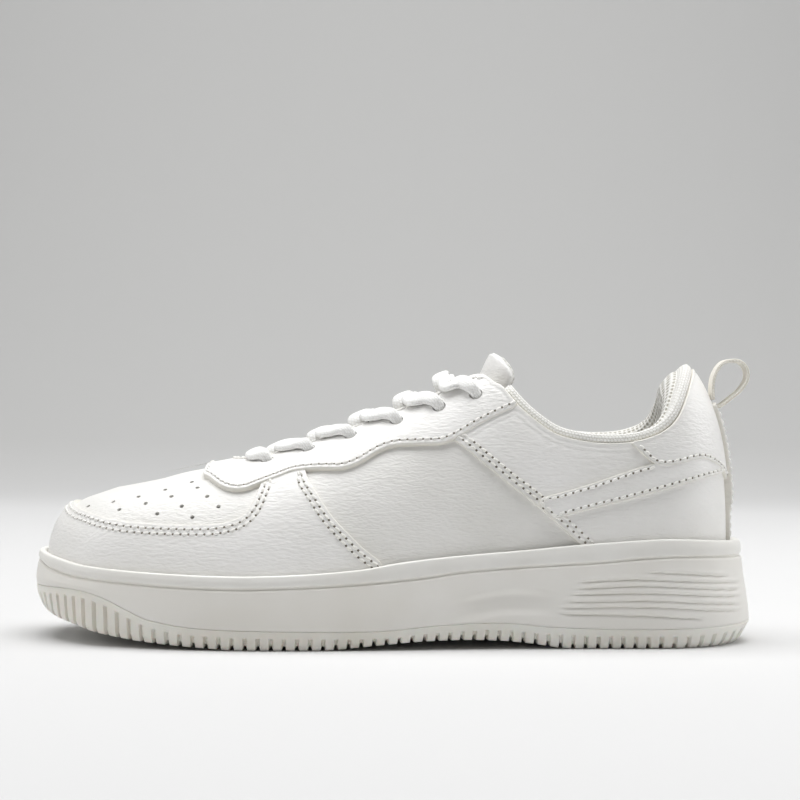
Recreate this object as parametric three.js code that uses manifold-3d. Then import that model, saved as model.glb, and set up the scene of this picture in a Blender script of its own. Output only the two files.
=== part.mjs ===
import * as THREE from 'three';
import { mergeVertices } from 'three/addons/utils/BufferGeometryUtils.js';
import Module from 'manifold-3d';

// A low, laced cheer shoe for the left foot, in millimetres. The toe points to -X, the outer side of the foot
// faces -Y, and the tread stands on z = 0.

// Driving sizes
const LENGTH = 290;
const WIDTH = 107;
const COLLAR_HEIGHT = 112;
const LEATHER = 1.4;
const OVERLAY = 1.3;
const EYESTAY = 2.0;
const STIFFENER = 0.8;
const LINING = 0.8;
const GAP = 0.3;
const EYELET = 5.6;
const LACE_WIDTH = 7;
const LACE_THICKNESS = 2;
const AGLET = 20;
const TONGUE_PAD = 7.5;
const COLLAR_PAD = 1;
const LOOP_WIDTH = 10;
const INSOLE = 4.5;

// Scales of the tables below, which are written for a shoe of 290 x 107 x 112
const KX = LENGTH / 290;
const KY = WIDTH / 107;
const KZ = COLLAR_HEIGHT / 112;
// Room for the facets of the curved panels, which bulge more as the sizes leave those of the tables
const FACET_ROOM = 7 * (Math.abs(KX - 1) + Math.abs(KY - 1) + Math.abs(KZ - 1));

// Mesh steps: stations from toe to heel on each side, and rows from the sole to the ridge
const STATIONS = 18;
const ROWS = 7;
const RING = 2 * STATIONS;

const wasm = await Module();
wasm.setup();
const group = new THREE.Group();
group.name = 'cheer_shoe';

// A smooth curve through the rows [x, value] of a table
function smooth(table, x) {
  const n = table.length;
  if (x <= table[0][0]) return table[0][1];
  if (x >= table[n - 1][0]) return table[n - 1][1];
  let k = 0;
  while (table[k + 1][0] < x) k++;
  const slope = (j) => {
    const a = table[Math.max(j - 1, 0)];
    const b = table[Math.min(j + 1, n - 1)];
    return (b[1] - a[1]) / (b[0] - a[0]);
  };
  const [x0, y0] = table[k];
  const [x1, y1] = table[k + 1];
  const h = x1 - x0;
  const t = (x - x0) / h;
  const u = 1 - t;
  return y0 * (1 + 2 * t) * u * u + slope(k) * h * t * u * u
    + y1 * t * t * (3 - 2 * t) - slope(k + 1) * h * t * t * u;
}

function ease(a, b, x) {
  const t = Math.min(1, Math.max(0, (x - a) / (b - a)));
  return t * t * (3 - 2 * t);
}

// Foot line of the upper, by station share from toe (0) to heel (1): Y of the outer and the inner side
const OUTER_SIDE = [[0, 6], [0.05, -7], [0.1, -18], [0.15, -27.5], [0.2, -36.5], [0.3, -46.6], [0.4, -48.6],
  [0.5, -43.8], [0.6, -36.6], [0.7, -33.6], [0.8, -31], [0.85, -26.5], [0.9, -19], [0.95, -10], [1, 0]];
const INNER_SIDE = [[0, 6], [0.05, 17.5], [0.1, 25], [0.15, 32], [0.2, 37.5], [0.3, 45], [0.4, 45.5],
  [0.5, 39.5], [0.6, 34.5], [0.7, 32.5], [0.8, 30.7], [0.85, 26.5], [0.9, 19], [0.95, 10], [1, 0]];
const TOE_X = -139.8;
const HEEL_X = 134.5;

// Ridge line over the foot, by station share: X, and by X: height and Y.
// Above the collar it only shapes the sides
const RIDGE_X = [[0, -102], [0.05, -100.5], [0.1, -97], [0.15, -92], [0.2, -85.5], [0.3, -68], [0.4, -41],
  [0.5, -3], [0.6, 34], [0.7, 60], [0.8, 77], [0.9, 88], [1, 93]];
const RIDGE_Z = [[-102, 58.5], [-87, 62.2], [-78, 64.8], [-62, 68.6], [-50, 72], [-34, 77.5], [-19, 83.5],
  [-4, 90], [8, 95.5], [20, 101], [32, 106.5], [45, 112], [60, 117], [80, 121], [93, 122]];
const RIDGE_Y = [[-102, 3], [-60, 0], [0, -1.5], [60, -1], [93, 0]];
const SIDE_P = [[0, 3], [0.15, 2.8], [0.35, 2.4], [0.6, 2.4], [0.8, 2.9], [1, 3.4]];
const SIDE_Q = [[0, 3], [0.15, 2.8], [0.35, 2.3], [0.6, 2.3], [0.8, 2.2], [1, 2]];

// Heights of the sole unit, by X
const CUP_FLOOR = [[-140, 24], [-115, 23.5], [-105, 20.5], [-95, 17.5], [-80, 15.5], [-60, 15], [-20, 16],
  [20, 20], [60, 24], [135, 27]];
const RIM_TOP = [[-142, 35], [-138, 34.6], [-132, 33.4], [-120, 31.2], [-105, 30], [-80, 28.9], [-58, 28.5],
  [-35, 29.3], [-12, 31.2], [3, 33.8], [22, 36], [50, 38.3], [73, 40.6], [95, 42.2], [108, 42.9], [125, 42],
  [141, 40.5]];
const RIM_GROOVE = [[-142, 32.4], [-138, 30.8], [-132, 28.6], [-122, 26.6], [-100, 25], [-73, 23.8], [-58, 23.7],
  [-42, 24.1], [-16, 25.4], [11, 27.9], [26, 30], [54, 32.2], [80, 33.8], [108, 36], [131, 35.4], [142, 34.6]];
const TREAD_TOP = [[-145, 20.2], [-131, 21.4], [-118, 21.2], [-109, 18.8], [-100, 14.6], [-92, 11.2],
  [-73, 8.4], [-35, 7.4], [-4, 7.5], [15, 9.2], [42, 10.2], [62, 8.6], [89, 7.6], [112, 7.8], [130, 8.6],
  [138, 10.1], [145, 11.7]];
const TREAD = [[-146, 15], [-142, 13], [-132, 9.6], [-122, 7.4], [-113, 5.2], [-97, 2.9], [-81, 1.5],
  [-66, 0.4], [-56, -0.2], [-30, -0.2], [-20, 0.5], [-4, 2], [11, 3.2], [27, 3.6], [42, 3.2], [54, 2.1],
  [65, 0.5], [74, -0.3], [133, -0.3], [139, 0.6], [145, 4]];

// Leather edge of the foot opening in side view: X and height
const TOPLINE = [[33, 107.4], [38, 106.2], [42, 102.3], [46, 98.4], [50, 94.3], [54, 90.8], [58, 87.6],
  [62, 84.9], [66, 83], [73, 81.3], [81, 80.3], [89, 80.3], [97, 81.2], [101, 82.4], [105, 84], [109, 86.8],
  [112, 90.4], [114, 94.4], [116, 99], [118, 104], [120.5, 109.5]];

function station(s) {
  const mid = (TOE_X + HEEL_X) / 2;
  const half = (HEEL_X - TOE_X) / 2;
  return mid - half * Math.cos(Math.PI * s);
}

// One rib of the upper's outer face: from the cup floor up to the ridge, evenly spaced along its length
function rib(s, outer) {
  const fx = station(s);
  const fy = smooth(outer ? OUTER_SIDE : INNER_SIDE, s);
  const fz = smooth(CUP_FLOOR, fx);
  const rx = smooth(RIDGE_X, s);
  const ry = smooth(RIDGE_Y, rx);
  const rz = smooth(RIDGE_Z, rx);
  const p = smooth(SIDE_P, s);
  const q = smooth(SIDE_Q, s);
  const fine = [];
  for (let k = 0; k <= 80; k++) {
    const a = k / 80 * Math.PI / 2;
    const t = Math.pow(Math.sin(a), 2 / p);
    const h = Math.pow(Math.max(Math.cos(a), 0), 2 / q);
    fine.push(new THREE.Vector3(
      (rx + (fx - rx) * h) * KX,
      (ry + (fy - ry) * h) * KY,
      (fz + (rz - fz) * t) * KZ,
    ));
  }
  const length = [0];
  for (let k = 1; k <= 80; k++) length.push(length[k - 1] + fine[k].distanceTo(fine[k - 1]));
  const points = [];
  let k = 0;
  for (let r = 0; r <= ROWS; r++) {
    const goal = length[80] * r / ROWS;
    while (k < 79 && length[k + 1] < goal) k++;
    const t = (goal - length[k]) / (length[k + 1] - length[k]);
    points.push(fine[k].clone().lerp(fine[k + 1], Math.min(1, t)));
  }
  return points;
}

// The grid of the upper's outer face: columns run round the foot from the toe along the outer side
const columns = [];
for (let i = 0; i < RING; i++) {
  columns.push(i <= STATIONS ? rib(i / STATIONS, true) : rib((RING - i) / STATIONS, false));
}
const ringSize = RING * ROWS;
const shellSize = ringSize + STATIONS + 1;
const gridIndex = (i, r) => {
  const c = (i + RING) % RING;
  return r < ROWS ? r * RING + c : ringSize + (c <= STATIONS ? c : RING - c);
};

function gridFaces(first, flip) {
  const faces = [];
  for (let r = 0; r < ROWS; r++) {
    for (let i = 0; i < RING; i++) {
      const a = first + gridIndex(i, r);
      const b = first + gridIndex(i + 1, r);
      const c = first + gridIndex(i + 1, r + 1);
      const d = first + gridIndex(i, r + 1);
      if (flip) faces.push(a, c, b, a, d, c);
      else faces.push(a, b, c, a, c, d);
    }
  }
  return faces;
}

function gridNormals() {
  const sums = Array.from({ length: shellSize }, () => new THREE.Vector3());
  const place = [];
  for (let r = 0; r <= ROWS; r++) {
    for (let i = 0; i < RING; i++) place[gridIndex(i, r)] = columns[i][r];
  }
  const faces = gridFaces(0, false);
  for (let f = 0; f < faces.length; f += 3) {
    const [a, b, c] = [place[faces[f]], place[faces[f + 1]], place[faces[f + 2]]];
    const n = b.clone().sub(a).cross(c.clone().sub(a));
    for (let j = 0; j < 3; j++) sums[faces[f + j]].add(n);
  }
  return sums.map((n) => n.normalize());
}
const normals = gridNormals();

// A point of the outer face at column a and row b (both may be fractions), moved out by d
function onUpper(a, b, d) {
  const i = Math.floor(a);
  const r = Math.min(ROWS - 1, Math.floor(b));
  const u = a - i;
  const v = b - r;
  const point = new THREE.Vector3();
  const normal = new THREE.Vector3();
  const shares = [[0, 0, (1 - u) * (1 - v)], [1, 0, u * (1 - v)], [0, 1, (1 - u) * v], [1, 1, u * v]];
  for (const [di, dr, w] of shares) {
    const c = (i + di + RING) % RING;
    point.addScaledVector(columns[c][r + dr], w);
    normal.addScaledVector(normals[gridIndex(c, r + dr)], w);
  }
  return point.addScaledVector(normal.normalize(), d);
}

const columnOf = (share, outer) => (outer ? share : RING - share);

function bisect(low, high, tooLow) {
  for (let k = 0; k < 26; k++) {
    const mid = (low + high) / 2;
    if (tooLow(mid)) low = mid;
    else high = mid;
  }
  return (low + high) / 2;
}

// The grid place [column, row] whose X and one more coordinate ('z', or 'y' as a distance from the middle) match
function findOnUpper(x, key, value, outer) {
  const columnAt = (b) => bisect(0, STATIONS, (a) => onUpper(columnOf(a, outer), b, 0).x < x);
  const b = bisect(0, ROWS, (r) => {
    const p = onUpper(columnOf(columnAt(r), outer), r, 0);
    return key === 'z' ? p.z < value : Math.abs(p.y) > value;
  });
  return [columnOf(columnAt(b), outer), b];
}

// Solids, turned so that their faces look outward
function solidOf(vertices, faces) {
  const corner = (n) => new THREE.Vector3(vertices[3 * n], vertices[3 * n + 1], vertices[3 * n + 2]);
  let volume = 0;
  for (let f = 0; f < faces.length; f += 3) {
    volume += corner(faces[f]).dot(corner(faces[f + 1]).cross(corner(faces[f + 2])));
  }
  const outward = Array.from(faces);
  if (volume < 0) {
    for (let f = 0; f < outward.length; f += 3) {
      [outward[f + 1], outward[f + 2]] = [outward[f + 2], outward[f + 1]];
    }
  }
  return new wasm.Manifold(new wasm.Mesh({
    numProp: 3,
    vertProperties: Float32Array.from(vertices),
    triVerts: Uint32Array.from(outward),
  }));
}

function solidOfGeometry(geometry) {
  geometry.deleteAttribute('normal');
  geometry.deleteAttribute('uv');
  const merged = mergeVertices(geometry, 1e-4);
  return solidOf(merged.attributes.position.array, merged.index.array);
}

// A layer of the upper between two offsets from the outer face, each a number or a function of the point
function layer(inner, outer) {
  const vertices = [];
  for (const side of [outer, inner]) {
    for (let n = 0; n < shellSize; n++) {
      const r = n < ringSize ? Math.floor(n / RING) : ROWS;
      const i = n < ringSize ? n % RING : n - ringSize;
      const p = columns[i][r].clone();
      const share = i <= STATIONS ? i / STATIONS : (RING - i) / STATIONS;
      const d = typeof side === 'function' ? side(p, share) : side;
      p.addScaledVector(normals[n], d);
      vertices.push(p.x, p.y, r === 0 ? p.z + GAP : p.z);
    }
  }
  const faces = [...gridFaces(0, false), ...gridFaces(shellSize, true)];
  for (let i = 0; i < RING; i++) {
    const a = gridIndex(i, 0);
    const b = gridIndex(i + 1, 0);
    faces.push(a, a + shellSize, b, b, a + shellSize, b + shellSize);
  }
  return solidOf(vertices, faces);
}

// A stack of rings around the foot with flat-lying strips as lids; each row is a function of (column) -> point
function ringStack(rows, centreTop) {
  const vertices = [];
  for (const row of rows) {
    for (let i = 0; i < RING; i++) vertices.push(...row(i).toArray());
  }
  const faces = [];
  for (let r = 0; r + 1 < rows.length; r++) {
    for (let i = 0; i < RING; i++) {
      const j = (i + 1) % RING;
      const a = r * RING;
      const b = a + RING;
      faces.push(a + i, a + j, b + j, a + i, b + j, b + i);
    }
  }
  const top = (rows.length - 1) * RING;
  for (let i = 0; i < STATIONS; i++) {
    const [a, b, c, d] = [i, i + 1, RING - i - 1, (RING - i) % RING];
    for (const [first, up] of [[0, false], [top, true]]) {
      const add = (x, y, z) => {
        if (x !== y && y !== z && x !== z) faces.push(first + x, first + (up ? y : z), first + (up ? z : y));
      };
      add(a, b, c);
      add(a, c, d);
    }
  }
  return solidOf(vertices, faces);
}

// A ring point at the foot line moved out level by d, at a height read from a table by X
function ringPoint(i, d, height, lift) {
  const p = columns[i][0].clone();
  const n = normals[gridIndex(i, 0)].clone().setZ(0).normalize();
  p.addScaledVector(n, d);
  p.z = Math.max(0, smooth(height, p.x / KX)) * KZ + lift;
  return p;
}
const shareOf = (i) => (i <= STATIONS ? i : RING - i) / STATIONS;

// Offset of a sole row: its value at the toe, on the sides and at the heel
function around(i, toe, side, heel) {
  const s = shareOf(i);
  const t = 1 - ease(0.02, 0.22, s);
  const h = ease(0.76, 0.97, s);
  return side + (toe - side) * t + (heel - side) * h;
}

// Side-view outlines, as [x, z], and plan outlines, as [x, y], pushed through the part
function shapeOf(points) {
  return new THREE.Shape(points.map(([x, y]) => new THREE.Vector2(x, y)));
}

function sidePrism(points, low, high) {
  const shape = shapeOf(points.map(([x, z]) => [x * KX, z * KZ]));
  const geometry = new THREE.ExtrudeGeometry(shape, { depth: high - low, bevelEnabled: false });
  geometry.rotateX(Math.PI / 2);
  geometry.translate(0, high, 0);
  return solidOfGeometry(geometry);
}

function planPrism(points, low, high) {
  const shape = shapeOf(points.map(([x, y]) => [x * KX, y * KY]));
  const geometry = new THREE.ExtrudeGeometry(shape, { depth: high - low, bevelEnabled: false });
  geometry.translate(0, 0, low);
  return solidOfGeometry(geometry);
}
const bothSides = (points) => sidePrism(points, -90, 90);
const outerHalf = (points, gap = 0.15) => sidePrism(points, -90, -gap);
const innerHalf = (points, gap = 0.15) => sidePrism(points, gap, 90);
const moved = (points, dx, dz) => points.map(([x, z]) => [x + dx, z + dz]);

function geometryOf(body) {
  const mesh = body.getMesh();
  const geometry = new THREE.BufferGeometry();
  const count = mesh.vertProperties.length / mesh.numProp;
  const positions = new Float32Array(count * 3);
  for (let n = 0; n < count; n++) {
    for (let c = 0; c < 3; c++) positions[3 * n + c] = mesh.vertProperties[n * mesh.numProp + c];
  }
  geometry.setAttribute('position', new THREE.BufferAttribute(positions, 3));
  geometry.setIndex(Array.from(mesh.triVerts));
  const flat = geometry.toNonIndexed();
  flat.computeVertexNormals();
  return flat;
}

function add(name, body, color, roughness) {
  const material = new THREE.MeshStandardMaterial({ color, roughness, metalness: 0 });
  const mesh = new THREE.Mesh(geometryOf(body), material);
  mesh.name = name;
  group.add(mesh);
}

// Outlines of the panels in side view
const EYESTAY_LOW = [[-70, 56], [-64, 60.3], [-60, 60], [-56, 60.7], [-52.8, 62], [-48, 63.6], [-44, 65.1],
  [-40, 66.7], [-36, 67.6], [-28, 68.3], [-20.6, 68.5], [-16.7, 69.4], [-12.8, 71], [-8.9, 73.3], [-5, 75.6],
  [-1, 77.2], [3, 78], [10.7, 78.4], [18.5, 78.8], [22.4, 79.9], [26.3, 81.8], [34, 86.4], [42, 90.5],
  [50.3, 93.6]];
const EYESTAY_FRONT = [[-75.6, 0], [-75, -6], [-72.6, -12], [-70, -19], [-67.4, -25], [-64, -29], [-59, -33],
  [-54, -38]];
const MUDGUARD_TOP = [[-134, 56], [-130, 53.6], [-125, 51.4], [-120, 50.3], [-110, 48.3], [-98, 47.2],
  [-82, 46.9], [-70, 47.2], [-63, 48.4], [-59, 50], [-56.5, 52], [-54.5, 55], [-52.8, 59], [-51.6, 62.2]];
const MUDGUARD_REAR = [[-34, 67.7], [-33, 64.9], [-31.4, 62.3], [-28.9, 58.9], [-26.4, 55.2], [-23.3, 51],
  [-20.1, 47.6], [-16.2, 43.8], [-12.3, 40], [-8.4, 36.8], [-4, 33], [2, 20], [2, 0]];
const REAR_FRONT = [[24, 80.6], [27, 78.6], [30.2, 76.2], [34, 73], [38, 69.9], [45.8, 63.6], [49.7, 60.8],
  [53.6, 57.9], [59.5, 53], [63.4, 49.5], [67.3, 46.1], [71.3, 42.3], [77, 36], [82, 20], [82, 0]];
const BAND = [[56, 57.4], [58.6, 58.6], [65, 60.3], [73, 62.6], [81, 65.1], [89, 67.9], [97, 70.6], [104, 72.8],
  [131, 84], [150, 84], [150, 71.5], [131, 68.1], [122, 66.3], [113, 63.8], [100.6, 60.3], [88.7, 57.1],
  [77, 54.2], [69, 52], [63.2, 50.2]];
const HEEL_TAB_LOW = [[91.5, 84], [93, 80.4], [96.8, 76.9], [100.8, 73], [103, 71.8], [107, 71.1], [113, 72],
  [118, 73.3], [122.4, 73.5], [127.5, 71.4], [131, 68.4], [133.5, 64], [136, 56], [150, 52]];
const THROAT = [[-62, 0], [-61, -4.5], [-58, -7.2], [-50, -9.2], [-20, -11.5], [10, -13], [33, -14.5], [44, -22],
  [70, -26], [70, 26], [44, 22], [33, 14.5], [10, 13], [-20, 11.5], [-50, 9.2], [-58, 7.2], [-61, 4.5]];
const EYELETS = [[-49.7, 18], [-33, 19], [-16.3, 19.8], [2, 20.6], [18.8, 21.2], [33.2, 21.8]];
const toplineCut = (drop) => [
  [29, 175],
  [29, 112],
  ...TOPLINE.map(([x, z]) => [x, z - drop]),
  [123, 111 - drop],
  [175, 112 - drop],
  [175, 175],
];

// Levels of the layers, measured from the outer face of the base leather
const BACKING_OUT = -LEATHER - GAP;
const BACKING_IN = BACKING_OUT - STIFFENER;
const LINING_OUT = BACKING_IN - GAP;
const LINING_IN = LINING_OUT - LINING;
const PANEL_IN = GAP;
const PANEL_OUT = GAP + OVERLAY;
const BAND_IN = PANEL_OUT + GAP;
const BAND_OUT = BAND_IN + 1.2;
const STRIP_IN = BAND_OUT + GAP;

// The four cutters that several layers share
const mouth = bothSides(toplineCut(0.8));
const throat = planPrism(THROAT, 20, 200);
const frontOfEyestay = planPrism([
  ...EYESTAY_FRONT, [-54, -80], [100, -80], [100, 80], [-54, 80],
  ...EYESTAY_FRONT.slice(1).reverse().map(([x, y]) => [x, -y]),
].reverse(), 20, 200);
const punch = EYELETS.flatMap(([x, y]) => [true, false].map((outer) => {
  const [a, b] = findOnUpper(x * KX, 'y', y * KY, outer);
  const centre = onUpper(a, b, 0);
  const axis = onUpper(a, b, 1).sub(centre);
  const hole = new THREE.CylinderGeometry(EYELET / 2, EYELET / 2, 24, 8);
  hole.applyQuaternion(new THREE.Quaternion().setFromUnitVectors(new THREE.Vector3(0, 1, 0), axis));
  hole.translate(centre.x, centre.y, centre.z);
  return solidOfGeometry(hole);
}));
const eyeletHoles = punch.reduce((sum, hole) => sum.add(hole));

// Base leather: the vamp in front, a quarter on each side; their joint lies under the mudguard
const SEAM = [[-47, 100], [-44, 62], [-40, 36], [-38, 0]];
const behindSeam = [[-47, 200], ...SEAM, [200, 0], [200, 200]];
const beforeSeam = [[-200, 200], [-200, 0], ...moved(SEAM, -GAP, 0).reverse(), [-47 - GAP, 200]];
const base = layer(-LEATHER, 0).subtract(mouth).subtract(throat).subtract(eyeletHoles);
add('vamp', base.intersect(bothSides(beforeSeam)), '#f1f0ec', 0.55);
add('quarter_lateral', base.intersect(outerHalf(behindSeam)), '#f1f0ec', 0.55);
add('quarter_medial', base.intersect(innerHalf(behindSeam)), '#f1f0ec', 0.55);

// Panels on the base leather
const panels = layer(PANEL_IN, PANEL_OUT).subtract(mouth);
const mudguardShape = [
  [-200, 0],
  [-200, 56],
  ...MUDGUARD_TOP,
  [-48, 70],
  [-34, 70],
  ...MUDGUARD_REAR,
];
const underEyestay = bothSides([[-54, 0], [-54, 61.4], ...moved(EYESTAY_LOW.slice(4), GAP * 0.5, -GAP), [60, 88],
  [60, 0]]);
const mudguard = panels.intersect(bothSides(mudguardShape));
const frontPart = mudguard.intersect(bothSides([[-200, 0], [-200, 90], [-54, 90], [-54, 0]]));
add('toe_mudguard', frontPart.add(mudguard.intersect(underEyestay)), '#f3f2ee', 0.55);

const rearShape = [...REAR_FRONT, [200, 0], [200, 120], [60, 120], [60, 96], [50.9, 93.3 - GAP], [42.2, 90.2],
  [34.2, 86.1], [26.4, 81.4]];
const rear = panels.intersect(bothSides(rearShape));
const wholeSide = [[-200, 0], [200, 0], [200, 200], [-200, 200]];
add('rear_panel_lateral', rear.intersect(outerHalf(wholeSide)), '#f3f2ee', 0.55);
add('rear_panel_medial', rear.intersect(innerHalf(wholeSide)), '#f3f2ee', 0.55);

// Eyestay: one U-shaped piece round the throat
const eyestayShape = [...EYESTAY_LOW, [62, 97], [62, 200], [-200, 200], [-200, 56]];
const eyestay = layer(PANEL_IN, PANEL_IN + EYESTAY)
  .subtract(mouth)
  .subtract(throat)
  .subtract(eyeletHoles)
  .intersect(bothSides(eyestayShape))
  .intersect(frontOfEyestay);
add('eyestay', eyestay, '#f4f3ef', 0.5);

// Top layer at the rear: side bands, and the heel tab that laps over their ends
const topLayer = layer(BAND_IN, BAND_OUT).subtract(mouth);
const heelTabShape = [...HEEL_TAB_LOW, [200, 52], [200, 200], [91.5, 200]];
const clearOfTab = bothSides([
  ...moved(HEEL_TAB_LOW, -GAP, -GAP), [200, 52 - GAP], [200, 200], [91.5 - GAP, 200],
]);
const strip = (half) => planPrism([[100, -half], [200, -half], [200, half], [100, half]], 0, 300);
const bands = topLayer.intersect(bothSides(BAND)).subtract(clearOfTab).subtract(strip(6 + GAP));
add('side_band_lateral', bands.intersect(outerHalf([[0, 0], [200, 0], [200, 200], [0, 200]])), '#f5f4f0', 0.5);
add('side_band_medial', bands.intersect(innerHalf([[0, 0], [200, 0], [200, 200], [0, 200]])), '#f5f4f0', 0.5);
const lowBack = bothSides([[120, 0], [200, 0], [200, 71], [120, 71]]).intersect(strip(6 + GAP));
add('heel_tab', topLayer.intersect(bothSides(heelTabShape)).subtract(lowBack), '#f4f3ef', 0.5);

// Backstay: a strip down the middle of the heel, over the heel tab and down into the cup
const lift = (p) => (STRIP_IN - BAND_IN) * ease(50 * KZ, 58 * KZ, p.z);
const backstay = layer((p) => BAND_IN + lift(p), (p) => BAND_OUT + lift(p))
  .intersect(strip(5.5))
  .intersect(bothSides([[110, 0], [200, 0], [200, 93], [110, 93]]));
add('backstay', backstay, '#f5f4f0', 0.5);

// Stiffeners between the leather and the lining
const backing = layer(BACKING_IN, BACKING_OUT).subtract(bothSides(toplineCut(7.5)));
const eyestayLow = [...EYESTAY_LOW.slice(1), [62, 97], [62, 200], [-200, 200], [-200, 60.3]];
const facing = backing
  .subtract(throat)
  .subtract(eyeletHoles)
  .intersect(bothSides(moved(eyestayLow, 0, 2)))
  .intersect(planPrism([[-56, -80], [44, -80], [44, 80], [-56, 80]], 20, 200));
add('eyestay_backing_lateral', facing.intersect(outerHalf([[-200, 0], [200, 0], [200, 200], [-200, 200]])),
  '#d9d6cc', 0.8);
add('eyestay_backing_medial', facing.intersect(innerHalf([[-200, 0], [200, 0], [200, 200], [-200, 200]])),
  '#d9d6cc', 0.8);
add('toe_puff', backing.intersect(bothSides([[-200, 0], [-88, 0], [-96, 46], [-112, 80], [-200, 80]])),
  '#cfc8b4', 0.7);
const counterShape = [[50, 0], [200, 0], [200, 200], [106, 200], [100, 76], [84, 66], [64, 50]];
add('heel_counter', backing.intersect(bothSides(counterShape)), '#cfc8b4', 0.7);

// Lining: one piece in front, one behind that ends under the padded collar
const RING_DEPTH = 24;
const lining = layer(LINING_IN, LINING_OUT).subtract(throat).subtract(eyeletHoles);
const belowCollar = bothSides([
  [27, 175],
  [27, 100],
  [33, 96],
  [38, 91],
  [44, 80],
  [50, 68],
  ...TOPLINE.slice(5, 15).map(([x, z]) => [x, z - RING_DEPTH - 4]),
  [114, 61],
  [123, 64],
  [128, 74],
  [175, 78],
  [175, 175],
]);
add('vamp_lining', lining.intersect(bothSides(beforeSeam)), '#ecebe6', 0.9);
const rearLining = lining.intersect(bothSides(behindSeam)).subtract(belowCollar);
add('quarter_lining', rearLining, '#ecebe6', 0.9);

// Sole unit
const cupWall = (i) => PANEL_OUT + 2 * GAP + 1.3 * ease(0.9, 0.97, shareOf(i));
const plugRows = [];
for (let r = 0; r <= 4; r++) {
  plugRows.push((i) => {
    const p = columns[i][r].clone().addScaledVector(normals[gridIndex(i, r)], cupWall(i));
    return p;
  });
}
const midHeight = (t) => RIM_GROOVE.map(([x, z]) => [x, z + (smooth(TREAD_TOP, x) - z) * t]);
const midsoleBody = ringStack([
  (i) => ringPoint(i, around(i, 5.5, 5.6, 11), TREAD_TOP, GAP / 2),
  (i) => ringPoint(i, around(i, 5.8, 5.8, 10), midHeight(0.62), 0),
  (i) => ringPoint(i, around(i, 5.4, 5.6, 8.6), midHeight(0.3), 0),
  (i) => ringPoint(i, around(i, 4.9, 5.2, 7.7), RIM_GROOVE, -1.1),
  (i) => ringPoint(i, around(i, 3.9, 4.2, 6.6), RIM_GROOVE, -0.2),
  (i) => ringPoint(i, around(i, 4.7, 5, 7.4), RIM_GROOVE, 0.7),
  (i) => ringPoint(i, around(i, 4.6, 4.9, 7), RIM_TOP, -0.8),
  (i) => ringPoint(i, around(i, 4, 4.4, 6.5), RIM_TOP, 0),
]);
const pocketPlan = [[16, -21], [60, -19], [104, -18], [104, 18], [60, 19], [16, 20]];
const insertBox = (grow) => bothSides([[20 - grow, 15 - grow], [104 + grow, 16 - grow], [104 + grow, 40],
  [20 - grow, 40]]).intersect(planPrism(pocketPlan.map(([x, y]) => [x + (x > 60 ? grow : -grow),
    y + Math.sign(y) * grow]), 0, 60));
const plug = ringStack(plugRows);
const midsole = midsoleBody.subtract(plug).subtract(insertBox(GAP));
add('midsole', midsole, '#f0efea', 0.75);
const plate = (d, low, high) => ringStack([
  (i) => ringPoint(i, d, CUP_FLOOR, low),
  (i) => ringPoint(i, d, CUP_FLOOR, high),
]);
const underFloor = plate(-4, -30, -GAP);
add('sole_insert', insertBox(0).intersect(underFloor), '#dcdad2', 0.9);
add('strobel_board', plate(LINING_IN - 0.5, GAP, 1.8), '#d6d0c0', 0.9);
add('insole', plate(LINING_IN - 1, 1.8 + GAP, 1.8 + GAP + INSOLE), '#e4e2db', 0.9);
add('insole_cover', plate(LINING_IN - 1, 1.8 + 2 * GAP + INSOLE, 2.7 + 2 * GAP + INSOLE), '#efeee9', 0.95);
const outsole = ringStack([
  (i) => ringPoint(i, around(i, 2, 3.4, 5), TREAD, 0),
  (i) => ringPoint(i, around(i, 3.6, 4.8, 7.4), TREAD, 2),
  (i) => ringPoint(i, around(i, 5.2, 5.5, 10.2), TREAD_TOP, -2.4),
  (i) => ringPoint(i, around(i, 5.5, 5.6, 11), TREAD_TOP, -GAP / 2),
]);
add('outsole', outsole, '#f3f2ee', 0.6);

// Sweep of a closed profile along a path: frames give the point for profile coordinates (a, b)
function sweep(frames, sides) {
  const vertices = [];
  for (const frame of frames) {
    for (let k = 0; k < sides; k++) vertices.push(...frame(k).toArray());
  }
  const faces = [];
  for (let f = 0; f + 1 < frames.length; f++) {
    for (let k = 0; k < sides; k++) {
      const j = (k + 1) % sides;
      const a = f * sides;
      const b = a + sides;
      faces.push(a + k, a + j, b + j, a + k, b + j, b + k);
    }
  }
  const contour = [];
  for (let k = 0; k < sides; k++) contour.push(frames[0](k));
  const last = (frames.length - 1) * sides;
  for (const [x, y, z] of lidFaces(contour)) faces.push(x, z, y);
  const end = [];
  for (let k = 0; k < sides; k++) end.push(frames[frames.length - 1](k));
  for (const [x, y, z] of lidFaces(end)) faces.push(last + x, last + y, last + z);
  return solidOf(vertices, faces);
}

// Triangles of a flat polygon in space
function lidFaces(points) {
  const centre = points.reduce((sum, p) => sum.add(p), new THREE.Vector3()).divideScalar(points.length);
  const normal = new THREE.Vector3();
  points.forEach((p, k) => {
    const next = points[(k + 1) % points.length];
    normal.add(p.clone().sub(centre).cross(next.clone().sub(centre)));
  });
  normal.normalize();
  const u = points[1].clone().sub(points[0]).projectOnPlane(normal).normalize();
  const v = normal.clone().cross(u);
  const flat = points.map((p) => new THREE.Vector2(p.dot(u), p.dot(v)));
  return THREE.ShapeUtils.triangulateShape(flat, []);
}

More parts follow.
